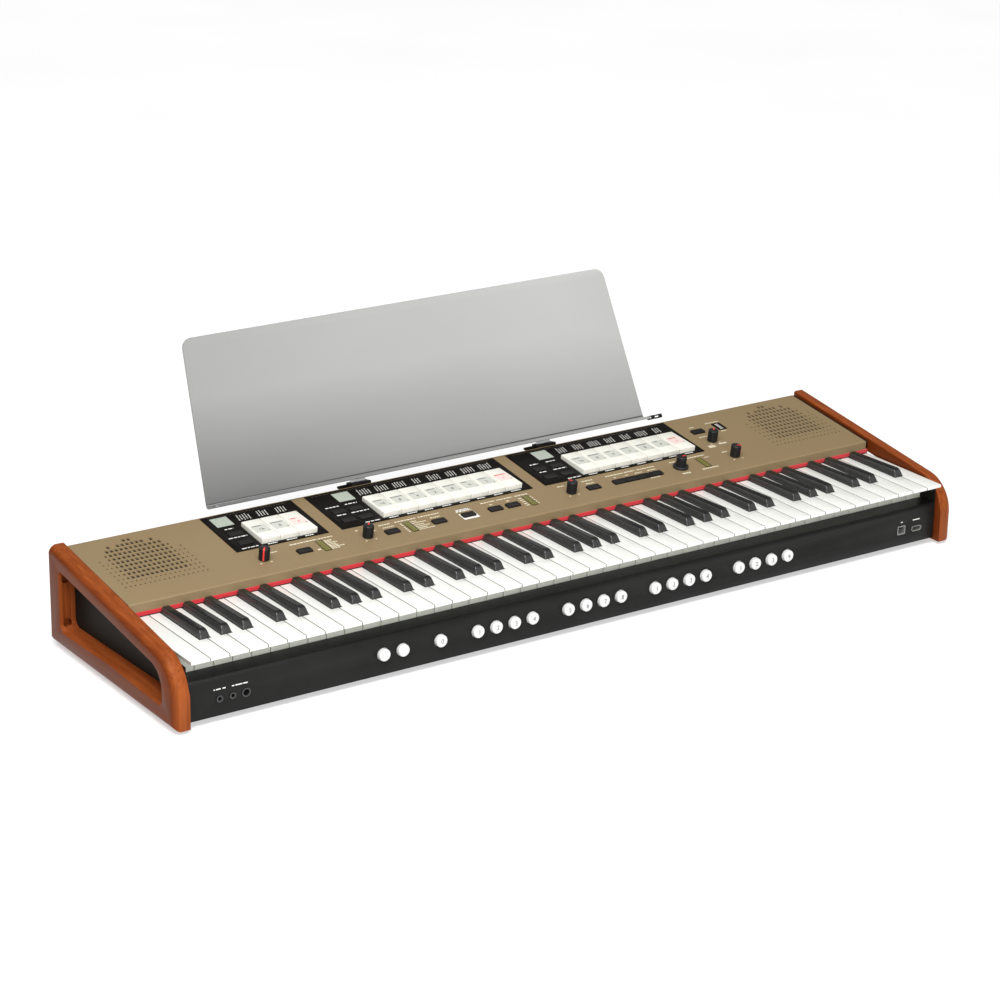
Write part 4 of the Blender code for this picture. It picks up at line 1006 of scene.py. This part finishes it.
# The printing on the bronze panel: cream dashes and ticks beside the controls, and nothing
# where the names stood. One button stands in a white printed field.
cream_print = grained("cream_print", (0.52, 0.47, 0.34), (0.72, 0.66, 0.50), 0.5, 2400.0)
lines = []
for x0, x1, s in ((-0.2970, -0.2765, 0.0517), (-0.2755, -0.2610, 0.0519), (-0.2595, -0.2405, 0.0517),
                  (-0.2095, -0.2060, 0.0515), (-0.1775, -0.1625, 0.0515), (-0.1558, -0.1267, 0.0515),
                  (-0.1233, -0.0942, 0.0515), (-0.0350, -0.0142, 0.0515), (-0.0117, 0.0108, 0.0516),
                  (0.0142, 0.0333, 0.0515), (0.0770, 0.0870, 0.0512), (0.1130, 0.1290, 0.0512),
                  (0.1490, 0.1760, 0.0512), (0.1780, 0.1930, 0.0514), (0.1970, 0.2240, 0.0512),
                  (0.2470, 0.2560, 0.0510), (0.2760, 0.3030, 0.0524)):
    lines += broken(x0, x1, s - 0.001, s + 0.001, 0.0042, 0.0)
for x0, x1, s in ((-0.1758, -0.1608, 0.0446), (-0.1108, -0.0975, 0.0442), (-0.0267, -0.0217, 0.0445),
                  (-0.0020, 0.0025, 0.0448), (0.1150, 0.1270, 0.0442), (0.1570, 0.1600, 0.0443),
                  (0.1740, 0.1790, 0.0443), (0.1890, 0.2000, 0.0443), (0.2080, 0.2210, 0.0443),
                  (0.2000, 0.2150, 0.0256), (0.3330, 0.3400, 0.1228), (0.3600, 0.3820, 0.1254),
                  (0.3280, 0.3400, 0.0950), (0.3670, 0.3750, 0.0996), (0.3286, 0.3370, 0.0490),
                  (-0.3280, -0.3170, 0.0445), (-0.1890, -0.1860, 0.0435), (0.2990, 0.3050, 0.0460)):
    lines += broken(x0, x1, s - 0.0009, s + 0.0009, 0.0036, 0.0)
for x0, x1, s, tall in ((0.2450, 0.2570, 0.0192, 0.0034), (0.2760, 0.3010, 0.0196, 0.0026),
                        (0.3230, 0.3330, 0.0680, 0.0062), (0.3410, 0.3530, 0.0704, 0.0034),
                        (-0.2725, -0.2675, 0.0290, 0.0028)):
    lines += broken(x0, x1, s - tall / 2, s + tall / 2, 0.0040, 0.0)
for x, s in ((-0.3487, 0.0257), (-0.3350, 0.0257), (-0.2097, 0.0250), (-0.1967, 0.0250),
             (0.0910, 0.0250), (0.0780, 0.0250), (0.3306, 0.0256), (0.3440, 0.0256),
             (0.3310, 0.0740), (0.3450, 0.0740)):
    lines.append(flat_bar(x - 0.0010, x + 0.0010, s - 0.0009, s + 0.0009, 0.0))
lay_bars("panel_dashes", lines, cream_print)
field = [flat_bar(-0.0747, -0.0529, 0.0238, 0.0386, 0.0)]
for x0, x1, s0, s1, step in ((-0.0745, -0.0530, 0.0432, 0.0446, 0.0052),
                             (-0.0735, -0.0540, 0.0453, 0.0466, 0.0044),
                             (-0.0725, -0.0550, 0.0473, 0.0488, 0.0048)):
    field += broken(x0, x1, s0, s1, step, 0.0)
lay_bars("button_field", field, pale_print)


# The level ladders: four narrow dark olive windows, each with two columns of small lamps
# under it, and cream dashes beside the first three.
olive = grained("olive_window", (0.040, 0.034, 0.008), (0.065, 0.056, 0.014), 0.3, 500.0)
lamp_olive = grained("lamp_olive", (0.12, 0.11, 0.022), (0.24, 0.215, 0.052), 0.35, 1500.0)
ladders = ((-0.2663, -0.2569), (-0.1478, -0.1387), (0.0212, 0.0303), (0.2840, 0.2934))
beside = (((0.0447, 0.0100), (0.0418, 0.0085), (0.0386, 0.0140), (0.0350, 0.0105),
           (0.0318, 0.0120), (0.0286, 0.0185), (0.0254, 0.0105)),
          ((0.0450, 0.0080), (0.0410, 0.0190), (0.0362, 0.0130), (0.0323, 0.0190),
           (0.0285, 0.0140), (0.0250, 0.0220)),
          ((0.0440, 0.0020), (0.0395, 0.0022), (0.0350, 0.0020), (0.0305, 0.0022),
           (0.0260, 0.0020)),
          ())
ticks = []
for number, (x0, x1) in enumerate(ladders, 1):
    window = block("ladder_window_%d" % number, (x0, 0.0220, -0.0001), (x1, 0.0478, 0.0003))
    soften(window, 0.00012, 2)
    dress(lay(window), olive, "plate_black", "case")
    columns = ((x0 + 0.0016, (x0 + x1) / 2 - 0.0002), ((x0 + x1) / 2 + 0.0002, x1 - 0.0016))
    lamps = [flat_bar(*ends, 0.024 + i * 0.0029, 0.0261 + i * 0.0029, 0.0003)
             for i in range(8) for ends in columns]
    lay_bars("ladder_lamps_%d" % number, lamps, lamp_olive, "plate_black")
    for s, wide in beside[number - 1]:
        ticks += broken(x1 + 0.0012, x1 + 0.0012 + wide, s - 0.0009, s + 0.0009, 0.0038, 0.0)
        if number in (2, 3):
            ticks.append(flat_bar(x0 - 0.0022 * number, x0 - 0.0018, s - 0.0008, s + 0.0008, 0.0))
lay_bars("ladder_ticks", ticks, cream_print)
patch = block("round_patch", (0.3662, 0.1025, -0.00002), (0.3800, 0.1220, 0.00008))
round_edges(patch, lambda edge: abs(edge.verts[0].co.z - edge.verts[1].co.z) > 0.00004, 0.0022, 4)
soften(patch, 0.0)
dress(lay(patch), plate_black, "plate_black", "case")
patch_lines = [flat_bar(0.3708, 0.3755, 0.1055 + i * 0.0031, 0.1068 + i * 0.0031, 0.0001)
               for i in range(5)]
lay_bars("round_patch_lines", patch_lines, pale_print)


# The white keys: moulded ivory-white plastic, each with a rounded playing edge, a lip over
# a set-back skirt, and a waist where the black keys pass. Like shapes are made once.
key_white = finish("key_ivory", 0.22)
cloud = noise(key_white, 35.0, (1.0, 0.35, 1.0), 3.0)
grain = noise(key_white, 1500.0, (1.0, 0.2, 1.0), 2.0)
white = colour_between(key_white, cloud, (0.69, 0.69, 0.655), (0.74, 0.74, 0.705))
# Painted shade: the key sides, which look along X, are painted dark grey so the seams between keys
# read dark.
ivory_with_painted_shade = mix_colours(key_white, facing(key_white, "X"), white, (0.28, 0.28, 0.26, 1.0))
# Painted shade: everything below the lip, the set-back skirt, is painted a duller grey-green than
# the key top.
skirt = reckon(key_white, "LESS_THAN", spot_along(key_white, "Z"), key_top - 0.0046)
ivory_with_painted_shade = mix_colours(key_white, skirt, ivory_with_painted_shade, (0.66, 0.68, 0.60, 1.0))
feed(key_white, "Base Color", ivory_with_painted_shade)
gloss_between(key_white, cloud, 0.2, 0.32)
relief(key_white, grain, 0.00003, 0.2)
pitch = 0.0235
half_gap = 0.0005
combs = [comb for comb, count in enumerate((5, 7, 7, 7, 7, 7, 5), 1) for key in range(count)]
black_shift = {1: -0.0018, 2: 0.0026, 4: -0.0026, 5: 0.0004, 6: 0.0034}
key_count = len(combs)
first_seam = -key_count * pitch / 2
black_half = 0.0066
notch = black_half + 0.0007
skirt_back = 0.037
foot_back = 0.052
moulds = {}


def black_at(seam):
    """How far the black key over a seam stands off it, or None where there is none."""
    return black_shift.get((seam + 2) % 7) if 0 < seam < key_count else None


def pull_faces(piece, wanted, *shifts):
    """Draw the wanted faces out of a piece, once for each shift."""
    pick(piece, "FACE", wanted)
    for shift in shifts:
        bpy.ops.mesh.extrude_region_move(TRANSFORM_OT_translate={"value": shift})
    close_edit()


def make_white(left, right):
    """A white key from x = 0; left and right are the middles of its black neighbours."""
    key = block("white_mould", at(half_gap, 0.0, -0.0038), at(pitch - half_gap, 0.1395, 0.0))
    pick(key, "FACE", lambda face: True)
    bpy.ops.mesh.bisect(plane_co=at(0.0, skirt_back, 0.0), plane_no=(0.0, 1.0, 0.0))
    bpy.ops.mesh.select_all(action="SELECT")
    bpy.ops.mesh.bisect(plane_co=at(0.0, foot_back, 0.0), plane_no=(0.0, 1.0, 0.0))
    close_edit()
    pull_faces(key, lambda face: face.normal.z < -0.9 and middle(face).y > lip_y + skirt_back,
               (0.0, 0.0, -0.0042), (0.0, 0.0, -0.004))
    pull_faces(key, lambda face: face.normal.z < -0.9
               and lip_y + skirt_back < middle(face).y < lip_y + foot_back, (0.0, 0.0, -0.022))
    pull_faces(key, lambda face: face.normal.y > 0.9 and middle(face).z < key_top - 0.0085
               and middle(face).y > lip_y + 0.13, (0.0, 0.078, 0.0))
    round_edges(key, lambda edge: middle(edge).y < lip_y + 1e-5 and middle(edge).z > key_top - 1e-5,
                0.0012, 4)
    for spot in (left, right):
        if spot is not None:
            tool = block("notch", at(spot - notch, 0.0492, -0.05), at(spot + notch, 0.1995, 0.02))
            carve(key, tool)
    soften(key, 0.0006, 3)
    return key


for i, comb in enumerate(combs):
    left = black_at(i)
    right = black_at(i + 1)
    right = None if right is None else pitch + right
    if (left, right) not in moulds:
        moulds[left, right] = make_white(left, right)
    key = copy_to(moulds[left, right], "white_key_%02d" % (i + 1),
                  (first_seam + i * pitch, 0.0, 0.0))
    body = "white_keys_%d" % comb
    dress(key, key_white, "white_key", body, body)
for mould in moulds.values():
    discard(mould)


# The black keys: glossy black plastic with a fine grain, narrower at the top than at the
# foot, sloping down to the felt, with a front that leans back and well rounded edges.
key_black = finish("key_ebony", 0.25)
grain = noise(key_black, 900.0, (1.0, 0.12, 1.0), 3.0)
# Painted light: faces that look up are painted near-black as painted shade, and the other faces a
# lighter grey as painted sheen.
ebony_sides_painted_sheen = colour_between(key_black, grain, (0.026, 0.026, 0.026), (0.038, 0.038, 0.037))
feed(key_black, "Base Color", mix_colours(key_black, facing(key_black, "Z"), ebony_sides_painted_sheen,
                                          (0.007, 0.007, 0.007, 1.0)))
gloss_between(key_black, grain, 0.20, 0.28)
relief(key_black, grain, 0.00001, 0.3)
black_tall = 0.0093
ebony = block("black_mould", at(-black_half, 0.050, 0.0), at(black_half, 0.1389, black_tall))
pick(ebony, "FACE", lambda face: face.normal.z > 0.9)
bpy.ops.transform.resize(value=(0.0045 / black_half, 1.0, 1.0))
close_edit()
move_points(ebony, lambda spot: spot.co.z > key_top + 0.001 and spot.co.y < lip_y + 0.06,
            (0.0, 0.0048, 0.0))
move_points(ebony, lambda spot: spot.co.z > key_top + 0.001 and spot.co.y > lip_y + 0.13,
            (0.0, 0.0, 0.0065 - black_tall))
round_edges(ebony, lambda edge: middle(edge).z > key_top + 0.008
            and middle(edge).y < lip_y + 0.056, 0.0040, 8)
round_edges(ebony, lambda edge: middle(edge).z > key_top + 0.001
            and middle(edge).y < lip_y + 0.138 and len(edge.link_faces) == 2
            and (abs(edge.link_faces[0].normal.x) > 0.7)
            != (abs(edge.link_faces[1].normal.x) > 0.7), 0.0014, 4)
pull_faces(ebony, lambda face: face.normal.z < -0.9, (0.0, 0.0, -0.01))
tail = block("tail", at(-0.0055, 0.130, -0.0066), at(0.0055, 0.2198, -0.0004))
carve(ebony, tail, "UNION")
soften(ebony, 0.0)
seams = [seam for seam in range(key_count) if black_at(seam) is not None]
for number, seam in enumerate(seams, 1):
    key = copy_to(ebony, "black_key_%02d" % number,
                  (first_seam + seam * pitch + black_at(seam), 0.0, 0.0))
    body = "black_keys_%d" % combs[seam]
    dress(key, key_black, "black_key", body, body)
discard(ebony)


# The music desk: a smoked acrylic sheet bent forward at the bottom into a narrow ledge,
# with rounded corners and bright polished edges, on two black brackets behind the panel.
desk_fold = at(0.0, 0.304, 0.042)
desk_tilt = math.radians(24)
desk_centre = -0.0257
desk_foot = 0.3165
desk_head = 0.3025
desk_tall = 0.198
desk_thick = 0.003
desk_ledge = 0.0185
tongue_across = 0.1355


def lean_back(piece):
    """Lean a piece, made upright from the desk's fold, back to the desk's angle."""
    return put(piece, desk_fold, (-desk_tilt, 0.0, 0.0))


desk = flat("desk_sheet", 2 * desk_foot, desk_tall, (desk_centre, 0.0, desk_tall / 2), upright)
pick(desk, "EDGE", lambda edge: middle(edge).z > desk_tall - 1e-5)
bpy.ops.transform.resize(value=(desk_head / desk_foot, 1.0, 1.0))
close_edit()
pull_edges(desk, lambda edge: middle(edge).z < 1e-5, (0.0, -desk_ledge, 0.0))
pick(desk, "VERT", lambda spot: spot.co.z > desk_tall - 1e-5)
bpy.ops.mesh.bevel(offset=0.012, segments=8, affect="VERTICES")
close_edit()
pick(desk, "VERT", lambda spot: spot.co.y < 0.0005 - desk_ledge)
bpy.ops.mesh.bevel(offset=0.006, segments=6, affect="VERTICES")
close_edit()
round_edges(desk, lambda edge: abs(middle(edge).z) < 1e-5 and abs(middle(edge).y) < 1e-5,
            0.0025, 6)
thicken(desk, desk_thick)
soften(desk, 0.0004, 2)
lean_back(desk)
smoke = finish("smoked_acrylic", 0.22)
# Painted light: the smoke tint is painted lighter towards the top of the sheet and towards its right
# end; a soft random cloud is added to it.
rise = spread(smoke, spot_along(smoke, "Z"), desk_fold.z, desk_fold.z + 0.115, 0.0, 0.45)
across = spread(smoke, spot_along(smoke, "X"), desk_centre - desk_foot, desk_centre + desk_foot,
                0.0, 0.55)
cloud = noise(smoke, 3.0, (1.0, 1.0, 2.5), 2.0)
smoke_and_painted_light = reckon(smoke, "MULTIPLY_ADD", cloud, 0.16, reckon(smoke, "ADD", rise, across))
tint = colour_between(smoke, smoke_and_painted_light, (0.110, 0.110, 0.109), (0.385, 0.385, 0.375), 0.08, 1.08)
up_the_sheet = Vector((0.0, math.sin(desk_tilt), math.cos(desk_tilt)))
along = wire(smoke, "ShaderNodeVectorMath", {
    0: wire(smoke, "ShaderNodeTexCoord").outputs["Object"], 1: up_the_sheet},
    operation="DOT_PRODUCT").outputs["Value"]
# Painted shade: a thin dark line is painted across the sheet just above the bend.
painted_bend_shade = reckon(smoke, "COMPARE", along, desk_fold.dot(up_the_sheet) + 0.0024, 0.0008)
feed(smoke, "Base Color", mix_colours(smoke, painted_bend_shade, tint, (0.06, 0.06, 0.06, 1.0)))
tune(smoke, "Coat Weight", 0.3)
dress(desk, smoke, "desk_sheet", "music_desk", "music_desk")
# Painted light: the clear tongues and the end tab are painted pale grey, brighter than the shade
# they sit in.
clear = grained("clear_acrylic_painted_light", (0.74, 0.76, 0.76), (0.86, 0.88, 0.88), 0.15, 200.0)
for side, hand in hands:
    centre = side * tongue_across
    tongue = block("desk_tongue_" + hand, (centre - 0.012, 0.0, -0.022),
                   (centre + 0.008, desk_thick, -0.001))
    soften(tongue, 0.0004, 2)
    dress(lean_back(tongue), clear, "desk_sheet", "music_desk", "music_desk")
end_tab = block("desk_end_tab", (desk_centre + desk_foot - 0.0020, -0.0090, -0.0030),
                (desk_centre + desk_foot + 0.0235, 0.0, -0.0012))
soften(end_tab, 0.0004, 2)
dress(lean_back(end_tab), clear, "desk_sheet", "music_desk")


# The two desk brackets: black plastic blocks behind the panel, each with a lower tab on its
# left and a sloping slot for a tongue.
bracket_black = grained("bracket_black", (0.007, 0.006, 0.006), (0.014, 0.013, 0.012), 0.45, 500.0)
tune(bracket_black, "Specular IOR Level", 0.15)
for side, hand in hands:
    centre = side * tongue_across
    bracket = block("bracket_block_" + hand, at(centre - 0.0155, 0.2917, 0.0),
                    at(centre + 0.0100, 0.3085, 0.0390))
    move_points(bracket, lambda spot: spot.co.z > key_top + 0.035 and spot.co.y > lip_y + 0.3,
                (0.0, 0.0, -0.0035))
    slot = block("slot", (centre - 0.0126, -0.0003, -0.0223),
                 (centre + 0.0086, desk_thick + 0.0003, 0.022))
    carve(bracket, lean_back(slot))
    soften(bracket, 0.0007, 3)
    dress(bracket, bracket_black, "black_plastic", "case", hand + "_desk_bracket")
    tab = block("bracket_tab_" + hand, at(centre - 0.0305, 0.2985, 0.0315),
                at(centre - 0.0150, 0.3055, 0.0345))
    soften(tab, 0.0010, 3)
    dress(tab, bracket_black, "black_plastic", "case", hand + "_desk_bracket")
for number, x in enumerate((0.0080, 0.0195), 1):
    x += desk_centre + desk_foot
    pad = block("desk_end_pad_%d" % number, (x - 0.0028, -0.0098, -0.0046),
                (x + 0.0028, 0.0006, 0.0006))
    soften(pad, 0.0006, 2)
    dress(lean_back(pad), bracket_black, "black_plastic", "music_desk")


# The connector plate on the back: zinc-plated steel with three line jacks in hexagon nuts,
# drawn here as round rings, and a mains inlet.
coat_solid("connector_panel", zinc)
plate_low, plate_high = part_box("connector_panel")
jack_high = (plate_low.z + plate_high.z) / 2
for i, x in enumerate((-0.300, -0.278, -0.256)):
    nut = ring("rear_jack_nut_%d" % i, Vector((x, plate_high.y + 0.0021, jack_high)), 0.0062,
               0.0036, 0.0020, (math.pi / 2, 0.0, 0.0))
    dress(nut, zinc, "zinc_steel", "case")
for i, x in enumerate((-0.391, -0.379)):
    pin = block("inlet_pin_%d" % i, (x - 0.0008, plate_high.y - 0.0088, jack_high - 0.003),
                (x + 0.0008, plate_high.y - 0.0015, jack_high + 0.003))
    soften(pin, 0.0003, 2)
    dress(pin, zinc, "zinc_steel", "case")


# The feet: four round pads of black moulded rubber with a rounded lower rim, fixed under
# the corners of the pan.
rubber = grained("foot_rubber_black", (0.014, 0.014, 0.014), (0.03, 0.03, 0.03), 0.8, 400.0)
for corner in ("front_left", "rear_left", "front_right", "rear_right"):
    low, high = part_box("foot_" + corner)
    foot = rod("pad_" + corner, ((low.x + high.x) / 2, (low.y + high.y) / 2, low.z), 0.010,
               high.z - low.z)
    round_edges(foot, lambda edge: middle(edge).z < low.z + 1e-5, 0.001, 3)
    soften(foot, 0.0)
    dress(foot, rubber, "foot_rubber", "case", "foot_" + corner)


# The studio: a plain pale floor and background, a broad softbox from the upper left, a low
# one from the front left, a wide soft light from above, and the camera where the
# photographer stood.
floor = flat("studio_floor", 30.0, 30.0, (0.0, 0.0, 0.0))
pale = grained("studio_white", (0.47, 0.47, 0.47), (0.50, 0.50, 0.50), 0.9, 2.0)
tune(pale, "Emission Color", (1.0, 1.0, 1.0, 1.0))
tune(pale, "Emission Strength", 0.5)
floor.data.materials.append(pale)
world = bpy.data.worlds.new("studio")
world.use_nodes = True
world.node_tree.nodes["Background"].inputs["Color"].default_value = (1.0, 1.0, 1.0, 1.0)
fading = spread(world, spot_along(world, "Y", "Generated"), -0.2, 0.85, 0.42, 0.10)
world.node_tree.links.new(fading, world.node_tree.nodes["Background"].inputs["Strength"])
bpy.context.scene.world = world


def hang(name, lamp, place, look):
    """Hang a lamp in the studio, shining along a direction."""
    holder = bpy.data.objects.new(name, lamp)
    bpy.context.scene.collection.objects.link(holder)
    holder.location = place
    holder.rotation_euler = Vector(look).to_track_quat("-Z", "Y").to_euler()


def softbox(name, place, aim, size, power):
    """A lit rectangle that shines at a spot."""
    lamp = bpy.data.lights.new(name, "AREA")
    lamp.shape = "RECTANGLE"
    lamp.size = size[0]
    lamp.size_y = size[1]
    lamp.energy = power
    hang(name, lamp, place, Vector(aim) - Vector(place))


softbox("left_light", (-1.3, -1.1, 2.2), (-0.4, 0.0, 0.05), (1.2, 1.0), 38.0)
softbox("front_light", (-0.8, -2.4, 0.9), (0.0, 0.0, 0.05), (1.6, 0.8), 30.0)
sky = bpy.data.lights.new("ceiling_light", "SUN")
sky.energy = 2.1
sky.angle = math.radians(48)
hang("ceiling_light", sky, (0.0, 0.0, 0.0), (0.12, 0.33, -0.93))
bpy.context.scene.view_settings.view_transform = "Standard"

turn = math.radians(34.49)
raise_angle = math.radians(20.16)
roll = math.radians(1.04)
sight = Vector((math.sin(turn) * math.cos(raise_angle), math.cos(turn) * math.cos(raise_angle),
                -math.sin(raise_angle)))
right = sight.cross(Vector((0.0, 0.0, 1.0))).normalized()
up = right.cross(sight)
tilted_right = right * math.cos(roll) + up * math.sin(roll)
tilted_up = up * math.cos(roll) - right * math.sin(roll)
lens = bpy.data.cameras.new("studio_camera")
lens.sensor_width = 36.0
lens.lens = 103.67
camera = bpy.data.objects.new("studio_camera", lens)
bpy.context.scene.collection.objects.link(camera)
stand = Matrix((tilted_right, tilted_up, -sight)).transposed().to_4x4()
stand.translation = at(-1.83755, -2.47317, 1.20903)
camera.matrix_world = stand
bpy.context.scene.camera = camera
